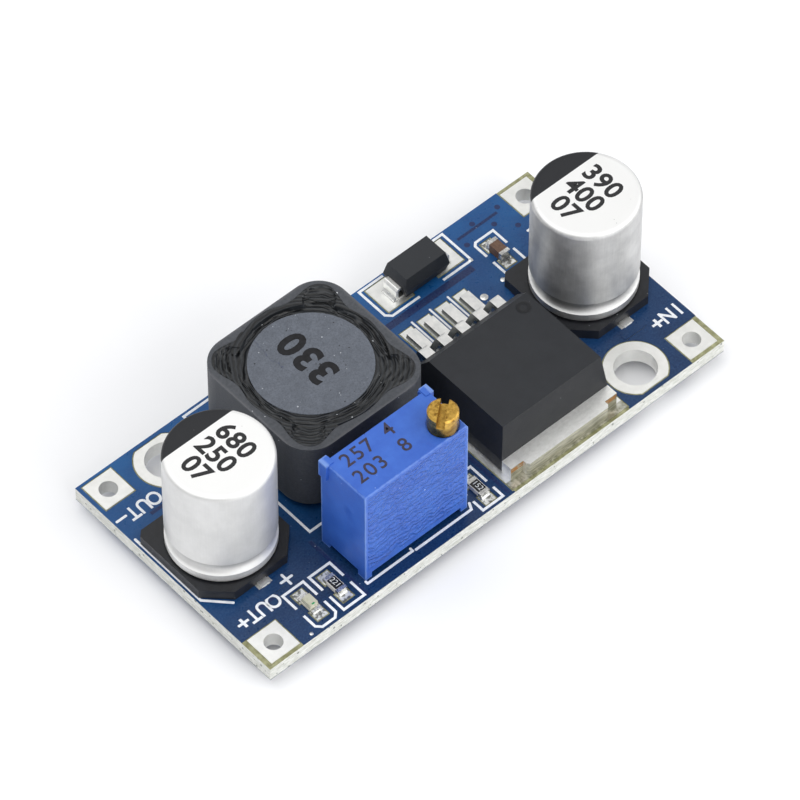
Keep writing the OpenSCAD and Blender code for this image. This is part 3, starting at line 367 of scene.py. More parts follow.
# finishes that need no more than their values
plainLooks = {
    "tinned_pad": dict(metal=0.85, dark=(236, 236, 232), light=(252, 252, 249), patch=1.3,
                       gloss=(0.36, 0.5), grain=6.0, depth=0.004, contrast=1.8, speck=(120, 120, 116),
                       speckScale=1.1, speckSize=0.07),
    "tinned_land": dict(metal=0.85, dark=(232, 233, 230), light=(251, 251, 248), patch=1.8,
                        gloss=(0.3, 0.46), grain=7.0, depth=0.004, contrast=1.8),
    "solder": dict(metal=1.0, dark=(205, 206, 205), light=(248, 248, 244), patch=2.4, gloss=(0.2, 0.38),
                   grain=5.0, depth=0.01, contrast=2.4),
    "base_plastic": dict(dark=(15, 16, 20), light=(32, 34, 40), patch=1.1, gloss=(0.34, 0.55), grain=14.0,
                         depth=0.014, speck=(150, 154, 160), speckScale=1.3, speckSize=0.06),
    "tinned_lead": dict(metal=0.95, dark=(222, 223, 221), light=(249, 248, 245), patch=2.0,
                        gloss=(0.28, 0.44), grain=9.0, depth=0.004),
    # the shield's edges get a painted highlight
    "ferrite_shield": dict(dark=(54, 57, 62), light=(78, 81, 87), patch=5.0, gloss=(0.5, 0.66), grain=9.0,
                           depth=0.02, speck=(200, 202, 206), speckScale=1.2, speckSize=0.06,
                           edgeLight=(104, 104, 108), edgeLightNode="inductor_shield", edgeLightWidth=0.22, edgeLightAmount=0.5),
    "enamelled_wire": dict(metal=0.6, dark=(120, 62, 28), light=(186, 104, 52), patch=2.0,
                           gloss=(0.25, 0.4), grain=7.0, depth=0.05, stretch=(0.2, 0.2, 3.0)),
    "seal_rubber": dict(dark=(22, 22, 22), light=(44, 42, 40), patch=3.0, gloss=(0.6, 0.8), grain=20.0,
                        depth=0.006),
    "wheel_plastic": dict(dark=(206, 202, 190), light=(232, 229, 218), patch=1.5, gloss=(0.4, 0.55),
                          grain=12.0, depth=0.005),
    "spring_brass": dict(metal=1.0, dark=(176, 134, 66), light=(222, 184, 104), patch=3.0,
                         gloss=(0.25, 0.4), grain=8.0, depth=0.003),
    "white_ceramic": dict(dark=(214, 211, 204), light=(238, 236, 230), patch=1.4, gloss=(0.5, 0.65),
                          grain=16.0, depth=0.006),
    "blue_resin": dict(dark=(30, 52, 120), light=(46, 74, 156), patch=1.2, gloss=(0.25, 0.5), grain=4.0,
                       depth=0.02),
    "lamp_base": dict(dark=(206, 202, 186), light=(236, 233, 222), patch=3.0, gloss=(0.4, 0.55), grain=20.0,
                      depth=0.004),
    "clear_lens": dict(coat=0.4, dark=(226, 224, 196), light=(244, 243, 226), patch=4.0, gloss=(0.12, 0.26),
                       grain=10.0, depth=0.006),
    "lamp_mark": dict(dark=(30, 120, 74), light=(60, 168, 104), patch=6.0, gloss=(0.4, 0.5), grain=20.0,
                      depth=0.002),
    "chip_metal": dict(metal=1.0, dark=(184, 184, 182), light=(242, 241, 238), patch=4.0,
                       gloss=(0.16, 0.36), grain=9.0, depth=0.008, contrast=3.0),
    "black_glaze": dict(dark=(16, 17, 19), light=(30, 31, 34), patch=5.0, gloss=(0.2, 0.34), grain=24.0,
                        depth=0.003),
    "tan_ceramic": dict(dark=(84, 60, 46), light=(120, 90, 70), patch=5.0, gloss=(0.4, 0.55), grain=24.0,
                        depth=0.004),
    "silk_white": dict(dark=(226, 231, 238), light=(250, 251, 253), patch=2.6, gloss=(0.5, 0.65),
                       grain=10.0, depth=0.006, contrast=3.0),
    "print_black": dict(dark=(14, 14, 16), light=(30, 30, 33), patch=4.0, gloss=(0.4, 0.6), grain=14.0,
                        depth=0.003),
    "print_brown": dict(dark=(34, 30, 44), light=(58, 52, 78), patch=5.0, gloss=(0.5, 0.65), grain=18.0,
                        depth=0.003, contrast=4.0),
    "print_white": dict(dark=(196, 200, 200), light=(232, 234, 234), patch=8.0, gloss=(0.5, 0.65),
                        grain=20.0, depth=0.002),
    "drum_print": dict(ior=1.35, dark=(14, 14, 17), light=(34, 34, 38), patch=2.8, gloss=(0.5, 0.7),
                       grain=12.0, depth=0.004, contrast=3.0),
    "via_tent": dict(dark=(14, 32, 76), light=(20, 44, 96), patch=4.0, gloss=(0.3, 0.4), grain=10.0,
                     depth=0.004),
}
plain = {name: plainFinish(name, look) for name, look in plainLooks.items()}
plain["clear_lens"].shader.inputs["Transmission Weight"].default_value = 0.45

# painted shade on the sides of the regulator's leads, and of their solder, that face left (-x)
leadSideShade = {"tone": (58, 63, 60), "reach": 0.6, "amount": 0.85}
for name in ("solder", "tinned_lead"):
    f = plain[name]
    side = f.ramp(f.facing(0), -2.6, -0.5)
    side = f.times(side, f.around(["regulator_leads"], leadSideShade["reach"]))
    f.paint(f.blend(side, f.tone, leadSideShade["tone"], leadSideShade["amount"]))

# dark blotches on the lands of the small chips, and olive, uneven tin in front of the tab
tabLow, tabHigh = lowHigh("regulator_tab")
landTones = {"dark": (66, 68, 60), "olive": (116, 116, 86), "oliveLight": (204, 202, 188),
             "chipReach": 0.75, "amount": 0.8, "stripSide": 0.7, "stripFront": 0.8, "stripBack": 0.62,
             "stripHeights": (1.0, 1.8)}
f = plain["tinned_land"]
chips = f.around(["lamp_ends", "lamp_resistor_ends", "feedback_resistor_ends", "chip_cap_ends"],
                 landTones["chipReach"])
darkBlotch = f.ramp(f.noise(3.0, 4.0), 8.0, -3.7)
tone = f.blend(f.times(chips, darkBlotch), f.tone, landTones["dark"], landTones["amount"])
strip = f.group(boxArea, Soft=0.12,
                Low=(tabLow.x - landTones["stripSide"], tabLow.y - landTones["stripFront"],
                     landTones["stripHeights"][0]),
                High=(tabHigh.x + landTones["stripSide"], tabLow.y + landTones["stripBack"],
                      landTones["stripHeights"][1]))
uneven = f.ramp(f.noise(2.6, 5.0), 5.0, -2.1)
f.paint(f.blend(strip, tone, f.blend(uneven, landTones["olive"], landTones["oliveLight"]),
                landTones["amount"]))

# blue solder mask: lighter over copper, darker in the gaps, and painted shade that darkens it towards the
# front
maskLook = {"copper": (20, 90, 150), "copperDeep": (12, 68, 126), "bare": (18, 34, 80),
            "front": (6, 48, 92), "frontDeep": (3, 36, 74), "fine": (60, 96, 140), "fleck": (170, 186, 214),
            "gloss": (0.24, 0.38), "peel": 0.004, "gapSoft": 0.06, "gapHeights": (1.0, 2.0),
            "gapStep": -1.5}
copperGaps = [(1.6, 6.1, 12.6, 6.75), (13.0, -4.6, 13.35, 3.0), (-12.45, -10.2, -12.1, -4.0),
              (-10.9, -4.1, -0.4, -3.7), (1.5, -7.4, 2.2, -3.2), (-19.0, 5.0, -12.2, 5.35),
              (13.4, 8.9, 17.3, 9.2), (-19.6, -6.15, -16.9, -5.85), (0.75, -10.2, 1.1, -3.2)]
f = Finish("solder_mask", coat=0.1, coatRough=0.12, ior=1.42)
patch = f.group(patchyTone, Scale=0.22, Contrast=3.2)
tone = f.blend(patch, maskLook["copperDeep"], maskLook["copper"])
# painted shade: the mask darkens towards the front (low y)
back = f.ramp(f.along(1), 0.06, 0.42)
tone = f.blend(back, f.blend(patch, maskLook["frontDeep"], maskLook["front"]), tone)
gaps = None
for x0, y0, x1, y1 in copperGaps:
    gap = f.group(boxArea, Low=(x0, y0, maskLook["gapHeights"][0]), High=(x1, y1, maskLook["gapHeights"][1]),
                  Soft=maskLook["gapSoft"])
    gaps = gap if gaps is None else f.calc("MAXIMUM", gaps, gap)
tone = f.blend(gaps, tone, maskLook["bare"])
tone = f.blend(f.ramp(f.noise(7.0, 3.0), 2.4, -0.95), tone, maskLook["fine"], amount=0.35)
f.paint(f.specked(tone, maskLook["fleck"], scale=1.2, size=0.05))
f.roughness(f.group(patchyTone, Scale=1.6, Contrast=2.0), *maskLook["gloss"])
step = f.times(gaps, maskLook["gapStep"])
f.bump(f.calc("ADD", f.noise(3.2, 3.0), step), maskLook["peel"])

# glass-fibre laminate: fibrous at the sawn sides, olive where the top is bare
laminateLook = {"edge": (244, 244, 241), "edgeDark": (196, 198, 188), "top": (122, 121, 82),
                "topLight": (168, 168, 132), "fleck": (140, 144, 136), "gloss": (0.5, 0.78), "depth": 0.05}
f = Finish("laminate")
layers = f.noise(1.0, 6.0, stretch=(1.6, 1.6, 7.0), rough=0.7)
fray = f.group(patchyTone, Scale=2.6, Contrast=3.4)
edgeTone = f.blend(f.ramp(layers, 3.0, -1.05), laminateLook["edgeDark"], laminateLook["edge"])
edgeTone = f.specked(edgeTone, laminateLook["fleck"], scale=2.2, size=0.2)
topTone = f.blend(fray, laminateLook["top"], laminateLook["topLight"])
f.paint(f.blend(f.ramp(f.facing(2), 4.0, -1.0), edgeTone, topTone))
f.roughness(fray, *laminateLook["gloss"])
f.bump(f.calc("ADD", layers, fray), laminateLook["depth"])

# aluminium cans: satin top with a black mark, drawn sides, painted shade in the roll groove
canLook = {"grooveZ": 3.71, "grooveHalf": 0.42, "groove": (70, 71, 74), "markFrom": 2.15, "markDown": 0.32,
           "ink": (20, 22, 27), "topRougher": 0.14, "depth": 0.004}


def canFinish(name, node, look):
    low, high = lowHigh(node)
    f = Finish(name, metal=1.0)
    streak = f.noise(1.0, 5.0, stretch=(9.0, 9.0, 0.5), rough=0.6)
    cloud = f.group(patchyTone, Scale=0.55, Contrast=2.4)
    mixed = f.calc("MULTIPLY_ADD", streak, 0.4, f.times(cloud, 0.6))
    tone = f.blend(f.ramp(mixed, 1.8, -0.4), look["dark"], look["light"])
    onTop = f.onTop()
    tone = f.blend(onTop, tone, f.specked(look["top"], look["topFleck"], scale=1.2, size=0.05))
    # painted shade in the roll groove
    groove = f.group(boxArea, Low=(low.x - 1, low.y - 1, canLook["grooveZ"] - canLook["grooveHalf"]),
                     High=(high.x + 1, high.y + 1, canLook["grooveZ"] + canLook["grooveHalf"]), Soft=0.3)
    tone = f.blend(groove, tone, canLook["groove"], look["grooveDark"])
    ink = f.group(boxArea, Low=(low.x - 1, (low.y + high.y) / 2 + canLook["markFrom"],
                                high.z - canLook["markDown"]),
                  High=(high.x + 1, high.y + 1, high.z + 1), Soft=0.02)
    ink = f.times(ink, f.ramp(f.noise(2.6, 6.0), -14.0, 10.9))  # worn away in small chips
    f.paint(f.blend(ink, tone, canLook["ink"]))
    f.tree.links.new(f.calc("SUBTRACT", look["metal"], f.times(ink, look["metal"]), clamp=True),
                     f.shader.inputs["Metallic"])
    rough = f.calc("MULTIPLY_ADD", mixed, look["gloss"][1] - look["gloss"][0], look["gloss"][0])
    rough = f.calc("ADD", rough, f.times(onTop, canLook["topRougher"]))
    f.tree.links.new(rough, f.shader.inputs["Roughness"])
    f.bump(f.calc("ADD", streak, f.noise(9.0, 3.0)), canLook["depth"])


canFinish("output_can", "output_cap_can", {
    "dark": (212, 212, 211), "light": (226, 226, 225), "top": (244, 244, 243),
    "topFleck": (150, 150, 150), "grooveDark": 0.3, "metal": 0.6, "gloss": (0.4, 0.52)})
canFinish("input_can", "input_cap_can", {
    "dark": (184, 184, 184), "light": (214, 214, 213), "top": (246, 246, 245),
    "topFleck": (120, 120, 120), "grooveDark": 0.45, "metal": 0.85, "gloss": (0.4, 0.54)})

# ground face of the drum: gritty, pitted, with a hairline crack
drumLook = {"dark": (82, 88, 98), "light": (104, 110, 121), "patch": 1.3, "contrast": 1.6,
            "grit": (60, 62, 68), "fleck": (176, 180, 186), "pit": (30, 30, 33), "crack": (66, 74, 104),
            "crackAt": -7.0, "crackLow": (-10, 4.6, 7.0), "crackHigh": (-2, 9.0, 9.0), "gloss": (0.46, 0.6),
            "depth": 0.018}
f = Finish("ferrite_drum")
patch, tone = f.cloudy(drumLook)
grit = f.ramp(f.noise(7.0, 5.0, rough=0.8), 5.0, -2.2)
tone = f.blend(grit, tone, drumLook["grit"], amount=0.55)
tone = f.specked(tone, drumLook["fleck"], scale=2.0, size=0.09)
pits = f.group(dustSpecks, Scale=1.5, Size=0.09)
tone = f.blend(pits, tone, drumLook["pit"])
wander = f.calc("MULTIPLY_ADD", f.noise(0.8, 4.0), 1.6, -0.8)
crack = f.calc("ADD", f.calc("ADD", f.along(0), -drumLook["crackAt"]), wander)
crack = f.ramp(f.calc("ABSOLUTE", crack), -40.0, 1.0)
crack = f.times(crack, f.group(boxArea, Low=drumLook["crackLow"], High=drumLook["crackHigh"], Soft=0.2))
f.paint(f.blend(crack, tone, drumLook["crack"], amount=0.8))
f.roughness(patch, *drumLook["gloss"])
f.bump(f.calc("SUBTRACT", f.noise(10.0, 5.0), f.calc("ADD", crack, pits)), drumLook["depth"])

# black epoxy with rings that wander round the drum, and painted highlights on the rings' crests
epoxyLook = {"dark": (5, 6, 7), "light": (15, 17, 20), "patch": 1.3, "contrast": 2.2, "crestHighlight": (46, 50, 55),
             "fleck": (200, 204, 208), "rings": 19.0, "wander": 14.0, "gloss": (0.28, 0.5), "depth": 0.055}
f = Finish("black_glue")
patch, tone = f.cloudy(epoxyLook)
drumSpot = middle("inductor_drum")
away = awayFrom(f.tree, f.place, (drumSpot.x, drumSpot.y, 0))
folds = f.calc("MULTIPLY_ADD", away, epoxyLook["rings"], f.times(f.noise(0.45, 2.0), epoxyLook["wander"]))
folds = f.calc("MULTIPLY_ADD", f.calc("SINE", folds), 0.5, 0.5)
# painted highlight on the crests of the rings
tone = f.blend(folds, tone, epoxyLook["crestHighlight"], amount=0.6)
f.paint(f.specked(tone, epoxyLook["fleck"], scale=1.3, size=0.06))
f.roughness(patch, *epoxyLook["gloss"])
f.bump(f.calc("MULTIPLY_ADD", f.noise(5.0, 2.0), 0.35, folds), epoxyLook["depth"])

# black moulding: painted shade on the faces turned to the front, with the round ejector mark at the
# regulator's corner
mouldLook = {"dark": (33, 35, 39), "light": (41, 43, 47), "patch": 0.8, "contrast": 1.8,
             "front": (20, 22, 26), "fleck": (120, 124, 130), "edgeLight": (84, 86, 90), "diode": (48, 51, 55),
             "mark": (14, 15, 17), "markAt": (10.44, -1.2, 0.0), "markRadius": 0.6, "markRim": 0.12,
             "markDepth": 0.06, "gloss": (0.46, 0.6), "grainDepth": 0.01}
f = Finish("moulding", ior=1.4)
patch, tone = f.cloudy(mouldLook)
# painted shade on the faces turned to the front
forwardFace = f.ramp(f.facing(1), -3.0, -0.5)
tone = f.blend(forwardFace, tone, mouldLook["front"], amount=0.6)
tone = f.specked(tone, mouldLook["fleck"], scale=1.3, size=0.045)
# painted highlight along the edges of the regulator and the diode
for node in ("regulator_body", "diode_body"):
    low, high = lowHigh(node)
    edgeLight = f.group(edgeHighlight, Low=low, High=high, Width=0.16)
    tone = f.blend(f.times(edgeLight, f.around([node], 0.12)), tone, mouldLook["edgeLight"], amount=0.35)
tone = f.blend(f.around(["diode_body"], 0.2), tone, mouldLook["diode"], amount=0.5)
onTop = f.onTop()
outer, inner = [f.group(roundArea, Centre=mouldLook["markAt"], Radius=mouldLook["markRadius"] * share,
                        Soft=mouldLook["markRim"]) for share in (1.0, 0.55)]
dish = f.times(f.calc("SUBTRACT", outer, f.times(inner, 0.6)), onTop)
f.paint(f.blend(dish, tone, mouldLook["mark"], amount=0.6))
f.roughness(patch, *mouldLook["gloss"])
grain = f.bump(f.noise(12.0, 5.0), mouldLook["grainDepth"])
f.bump(f.times(dish, -1.0), mouldLook["markDepth"], grain)

# tinned tab: streaky tin, olive painted shade on the faces turned to the front, bare copper where the lead
# frame was cut
tabLook = {"dark": (232, 232, 228), "light": (253, 253, 250), "shadeStreak": (104, 102, 74),
           "shadeStreakLight": (184, 180, 156), "copper": (176, 122, 66), "notch": 1.2, "cutFrom": 0.3,
           "cutTo": 0.62, "cutBelow": 0.55, "cutAbove": 0.06, "gloss": (0.3, 0.46), "depth": 0.008}
f = Finish("tinned_tab", metal=0.7)
streak = f.noise(1.0, 6.0, stretch=(2.4, 4.0, 3.0), rough=0.7)
tone = f.blend(f.ramp(streak, 2.6, -0.8), tabLook["dark"], tabLook["light"])
# painted shade: olive streaks on the faces turned to the front
forward = f.ramp(f.facing(1), -4.0, -2.0)
shadeStreak = f.ramp(f.noise(1.0, 5.0, stretch=(0.9, 3.0, 7.0)), 4.0, -1.5)
shadedFront = f.blend(shadeStreak, tabLook["shadeStreak"], tabLook["shadeStreakLight"])
tone = f.blend(forward, tone, shadedFront, amount=0.85)
for x0, x1 in ((tabLow.x - 0.1, tabLow.x + tabLook["notch"]),
               (tabHigh.x - tabLook["notch"], tabHigh.x + 0.1)):
    notch = f.group(boxArea, Low=(x0, tabLow.y + tabLook["cutFrom"], tabHigh.z - tabLook["cutBelow"]),
                    High=(x1, tabLow.y + tabLook["cutTo"], tabHigh.z - tabLook["cutAbove"]), Soft=0.04)
    fray = f.ramp(f.noise(3.4, 4.0), 6.0, -2.0)
    tone = f.blend(f.times(f.times(notch, forward), fray), tone, tabLook["copper"])
f.paint(tone)
f.roughness(streak, *tabLook["gloss"])
f.bump(streak, tabLook["depth"])

# blue trimmer housing, rippled front panel and pale painted highlights along the edges
trimLow, trimHigh = lowHigh("trimmer_housing")
trimLook = {"dark": (42, 88, 184), "light": (58, 108, 202), "patch": 0.7, "edgeLight": (132, 164, 222),
            "fleck": (190, 206, 240), "pit": (24, 36, 84), "left": -11.6, "right": -2.1, "top": 10.8,
            "ripple": 0.34, "panelInset": 0.25, "panelLow": 2.3, "panelHigh": 10.5, "gloss": (0.34, 0.5),
            "grainDepth": 0.012}
f = Finish("blue_housing")
patch, tone = f.cloudy(trimLook)
# painted highlight along the housing's edges
edgeLight = f.group(edgeHighlight, Low=(trimLook["left"], trimLow.y, trimLow.z),
              High=(trimLook["right"], trimHigh.y, trimLook["top"]), Width=0.14)
tone = f.blend(edgeLight, tone, trimLook["edgeLight"], amount=0.6)
tone = f.specked(tone, trimLook["fleck"], scale=1.3, size=0.055)
f.paint(f.specked(tone, trimLook["pit"], scale=0.8, size=0.035))
f.roughness(patch, *trimLook["gloss"])
panel = f.group(boxArea, Soft=0.3,
                Low=(trimLook["left"] + trimLook["panelInset"], trimLow.y - 0.1, trimLook["panelLow"]),
                High=(trimLook["right"] - trimLook["panelInset"], trimLow.y + 0.15, trimLook["panelHigh"]))
ripple = addNode(f.tree, "TexWave", {"Vector": f.place, "Scale": 0.62, "Distortion": 8.0, "Detail": 2.0,
                                     "Detail Scale": 2.2}, wave_type="BANDS", bands_direction="Z").outputs[1]
grain = f.bump(f.noise(9.0, 4.0), trimLook["grainDepth"])
f.bump(f.times(panel, ripple), trimLook["ripple"], grain)

# brass screw, darker low down and in the slot
screwLow, screwHigh = lowHigh("trimmer_screw")
screwLook = {"dark": (150, 112, 48), "light": (226, 184, 92), "patch": 2.4, "contrast": 3.0,
             "lowDark": (78, 58, 30), "lowDarkHeights": (10.6, 11.75), "gloss": (0.24, 0.46), "depth": 0.02}
f = Finish("brass_screw", metal=1.0)
patch, tone = f.cloudy(screwLook)
deep = f.group(boxArea, Low=(screwLow.x - 1, screwLow.y - 1, screwLook["lowDarkHeights"][0]),
               High=(screwHigh.x + 1, screwHigh.y + 1, screwLook["lowDarkHeights"][1]), Soft=0.3)
f.paint(f.blend(deep, tone, screwLook["lowDark"], amount=0.55))
f.roughness(patch, *screwLook["gloss"])
f.bump(f.noise(6.0, 5.0), screwLook["depth"])

nodeFinish = {
    "laminate": ["circuit_board"],
    "solder_mask": ["solder_mask_top", "solder_mask_bottom"],
    "tinned_pad": ["terminal_pads", "mounting_rings", "trimmer_lands"],
    "tinned_land": ["component_lands"],
    "solder": ["solder_fillets", "pin_solder"],
    "input_can": ["input_cap_can"],
    "output_can": ["output_cap_can"],
    "base_plastic": ["input_cap_base", "output_cap_base", "inductor_plate_sheet"],
    "tinned_lead": ["input_cap_leads", "output_cap_leads", "inductor_clips", "regulator_leads",
                    "diode_terminals", "trimmer_pins"],
    "ferrite_shield": ["inductor_shield"],
    "ferrite_drum": ["inductor_drum"],
    "enamelled_wire": ["inductor_winding"],
    "black_glue": ["inductor_glue"],
    "moulding": ["regulator_body", "diode_body"],
    "tinned_tab": ["regulator_tab"],
    "blue_housing": ["trimmer_housing"],
    "brass_screw": ["trimmer_screw"],
    "seal_rubber": ["trimmer_seal"],
    "wheel_plastic": ["trimmer_wheel"],
    "spring_brass": ["trimmer_wiper"],
    "white_ceramic": ["trimmer_element", "lamp_resistor_body", "feedback_resistor_body"],
    "blue_resin": ["trimmer_resin"],
    "lamp_base": ["lamp_base"],
    "clear_lens": ["lamp_lens"],
    "chip_metal": ["lamp_ends", "lamp_resistor_ends", "feedback_resistor_ends", "chip_cap_ends"],
    "black_glaze": ["lamp_resistor_glaze", "feedback_resistor_glaze"],
    "tan_ceramic": ["chip_cap_body"],
}
dressed = {node: finish for finish, names in nodeFinish.items() for node in names}
for node, finish in dressed.items():
    for place in nodes[node].material_slots:
        place.material = finishes[finish]
print("finishes on", len(dressed), "nodes, left without:", sorted(set(nodes) - set(dressed)))

# white board print; strokes that cross get slightly different heights
boardTop = lowHigh("solder_mask_top")[1].z
silk = {"line": 0.2, "thick": 0.02, "sink": 0.004, "rise": 0.0017, "leadLine": 0.16,
        "leadGaps": (5.95, 7.68, 9.40), "leadReach": (3.15, 5.63)}
strokeRise = itertools.cycle((1, 2, 3, 0))


def silkStroke(start, end, line=silk["line"]):
    # one straight stroke with rounded ends
    a, b = Vector(start), Vector(end)
    stroke = flatPlate((b - a).length + line, line)
    bpy.ops.mesh.bevel(offset=line * 0.42 * mm, segments=3, affect="VERTICES")
    thicken(silk["thick"] + silk["rise"] * next(strokeRise))
    mid = (a + b) / 2
    putAt(stroke, mid.x, mid.y, boardTop - silk["sink"], math.degrees(math.atan2(b.y - a.y, b.x - a.x)))
    return stroke


def silkFrame(low, high, chamfers, gaps):
    # a box outline: corners cut by chamfers (xSide, ySide, size), sides opened by gaps (low, high)
    grow = silk["line"] / 2
    low = Vector((low[0] - grow, low[1] - grow))
    high = Vector((high[0] + grow, high[1] + grow))
    mid = (low + high) / 2
    box = flatPlate(high.x - low.x, high.y - low.y,
                    ((low.x + high.x) / 2, (low.y + high.y) / 2, boardTop - silk["sink"]))
    for sx, sy, size in chamfers:
        pickVerts(lambda p: (p.x - mid.x) * sx > 0 and (p.y - mid.y) * sy > 0)
        bpy.ops.mesh.bevel(offset=size * mm, segments=1, affect="VERTICES")
    bpy.ops.mesh.select_mode(type="FACE")
    bpy.ops.mesh.select_all(action="SELECT")
    bpy.ops.mesh.inset(thickness=silk["line"] * mm)
    bpy.ops.mesh.delete(type="FACE")
    for gapLow, gapHigh in gaps:
        for axis in (0, 1):
            for edge in (gapLow[axis], gapHigh[axis]):
                way = [0, 0, 0]
                spot = [0, 0, 0]
                way[axis], spot[axis] = 1, edge * mm
                bpy.ops.mesh.select_all(action="SELECT")
                bpy.ops.mesh.bisect(plane_co=spot, plane_no=way)
        pickFaces(lambda c: gapLow[0] < c.x < gapHigh[0] and gapLow[1] < c.y < gapHigh[1])
        bpy.ops.mesh.delete(type="FACE")
    thicken(silk["thick"])
    return box


silkBoxes = {
    "lamp": ((-16.79, -10.1), (-14.9, -6.32), [(-1, -1, 0.42), (1, -1, 0.42)],
             [((-17.2, -8.55), (-14.4, -7.8))]),
    "lampResistor": ((-14.37, -10.0), (-12.45, -6.33), [], [((-14.9, -8.52), (-12.0, -7.8))]),
    "feedbackResistor": ((-1.44, -10.1), (0.45, -6.68), [], [((-1.9, -9.06), (0.9, -8.39))]),
    "chipCap": ((13.98, 4.35), (15.93, 8.0), [(-1, 1, 0.3)], [((13.5, 5.82), (16.4, 6.5))]),
    "diode": ((4.93, 7.0), (12.95, 10.18), [(-1, -1, 0.45)],
              [((7.94, 6.5), (10.2, 7.4)), ((7.23, 9.8), (10.6, 10.4))]),
    "inductor": ((-11.71, -3.41), (1.25, 10.1), [],
                 [((-8.4, -4.0), (-2.0, -3.0)), ((-8.4, 9.7), (-2.0, 10.4)), ((0.9, -4.0), (1.6, 10.5))]),
}
silkLines = {
    "trimmer": [((-11.66, -9.43), (-7.46, -9.43)), ((-11.66, -9.43), (-11.66, -9.25)),
                ((-7.46, -9.43), (-7.46, -9.2)), ((-7.2, -9.5), (-2.0, -9.5)),
                ((-2.0, -9.5), (-1.75, -9.0))],
    "outputCap": [((-21.25, 4.19), (-21.25, -2.8)), ((-21.25, -2.8), (-19.7, -4.45))],
    "plusSign": [((-16.12, -5.4), (-15.16, -5.4)), ((-15.64, -5.88), (-15.64, -4.92))],
    "minusSigns": [((-21.22, 6.2), (-20.42, 6.2)), ((18.6, 6.3), (17.8, 6.3))],
}
silkPrint = [silkFrame(*box) for box in silkBoxes.values()]
for x in silk["leadGaps"]:
    silkPrint.append(silkStroke((x, silk["leadReach"][0]), (x, silk["leadReach"][1]), silk["leadLine"]))
silkPrint += [silkStroke(start, end) for lines in silkLines.values() for start, end in lines]


def flatText(words, x, y, z, turn, height, thick, bold=0.0, spacing=1.0, squeeze=1.0):
    # lettering as a closed mesh, its middle at this place (mm)
    pickNone()
    bpy.ops.object.text_add(location=(0, 0, 0))
    text = bpy.context.object.data
    text.body = words
    text.align_x, text.align_y = "CENTER", "CENTER"
    text.size = height / 0.7 * mm  # capitals are about 0.7 of the size
    text.space_character = spacing
    text.offset = bold * mm
    text.extrude = thick / 2 * mm
    text.resolution_u = 4
    bpy.ops.object.convert(target="MESH")
    piece = bpy.context.object
    piece.scale[0] = squeeze
    putAt(piece, x, y, z, turn)
    cleanShell()
    return piece


labels = {"height": 1.14, "bold": 0.03, "squeeze": 0.88, "plusWide": 1.3,
          "words": (("OUT", -17.95, 6.12, 0.96), ("OUT+", -17.55, -6.14, 0.92), ("IN+", 20.95, -6.02, 0.98),
                    ("IN", 20.95, 6.3, 0.98))}
for words, x, y, pitch in labels["words"]:
    for i, letter in enumerate(words):
        squeeze = labels["squeeze"] * (labels["plusWide"] if letter == "+" else 1.0)
        silkPrint.append(flatText(letter, x - pitch * i, y, boardTop + silk["thick"] / 2 - silk["sink"], 180,
                                  labels["height"], silk["thick"], labels["bold"], squeeze=squeeze))
fitOut(joinPieces(silkPrint, "board_print"), "silk_white")
print("board print done")


# prints on the parts
def printOn(name, finish, surfaceZ, rows, turn, height, thick=0.012, bold=0.0, spacing=1.0):
    sink = 0.003
    made = [flatText(words, x, y, surfaceZ + thick / 2 - sink, turn, height, thick, bold, spacing)
            for words, x, y in rows]
    fitOut(joinPieces(made, name), finish)


canTop = lowHigh("output_cap_can")[1].z
canPrint = {"height": 1.45, "pitch": 1.8, "shift": (-0.26, 0.03), "bold": 0.055, "spacing": 1.05,
            "output_cap": ("680", "250", "07"), "input_cap": ("390", "400", "07")}
for cap in ("output_cap", "input_cap"):
    low, high = lowHigh(cap + "_can")
    midX, midY = (low.x + high.x) / 2, (low.y + high.y) / 2
    rows = [(words, midX + canPrint["shift"][0] + canPrint["pitch"] * (1 - i), midY + canPrint["shift"][1])
            for i, words in enumerate(canPrint[cap])]
    printOn(cap + "_print", "print_black", canTop, rows, -90, canPrint["height"], bold=canPrint["bold"],
            spacing=canPrint["spacing"])

drumPrint = {"rows": [("330", -5.0, 4.25)], "turn": 90, "height": 2.1, "bold": 0.11, "spacing": 1.1}
printOn("inductor_print", "drum_print", lowHigh("inductor_drum")[1].z, **drumPrint)

trimPrint = {"rows": [("257", -9.35, -5.85), ("4", -6.45, -5.75), ("203", -9.6, -7.5), ("8", -6.45, -7.5)],
             "turn": 0, "height": 1.15, "bold": 0.015, "spacing": 1.15}
printOn("trimmer_print", "print_brown", trimLook["top"], **trimPrint)

chipPrint = {"rows": [("221", -13.5, -8.1), ("152", -0.5, -8.5)], "turn": -90, "height": 0.42,
             "thick": 0.008}
printOn("resistor_prints", "print_white", lowHigh("lamp_resistor_glaze")[1].z, **chipPrint)

lampMark = {"x": -15.87, "y": -8.45, "height": 0.5, "thick": 0.012, "bold": 0.03}
fitOut(joinPieces([flatText("-", lampMark["x"], lampMark["y"], lowHigh("lamp_lens")[1].z + 0.001, 0,
                            lampMark["height"], lampMark["thick"], lampMark["bold"])], "lamp_print"),
       "lamp_mark")
print("prints done")


# small tinned test points and covered vias on the board
def boardDot(x, y, radius, rise):
    sink = 0.01
    pickNone()
    bpy.ops.mesh.primitive_circle_add(vertices=24, radius=radius * mm, fill_type="NGON",
                                      location=(x * mm, y * mm, (boardTop - sink) * mm))
    settle()
    editOn()
    raiseBy(rise * 0.5 + sink)
    raiseBy(rise * 0.5)
    bpy.ops.transform.resize(value=(0.55, 0.55, 1))
    editOff()
    cleanShell()
    bpy.ops.object.shade_smooth_by_angle(angle=math.radians(50))
    return bpy.context.object


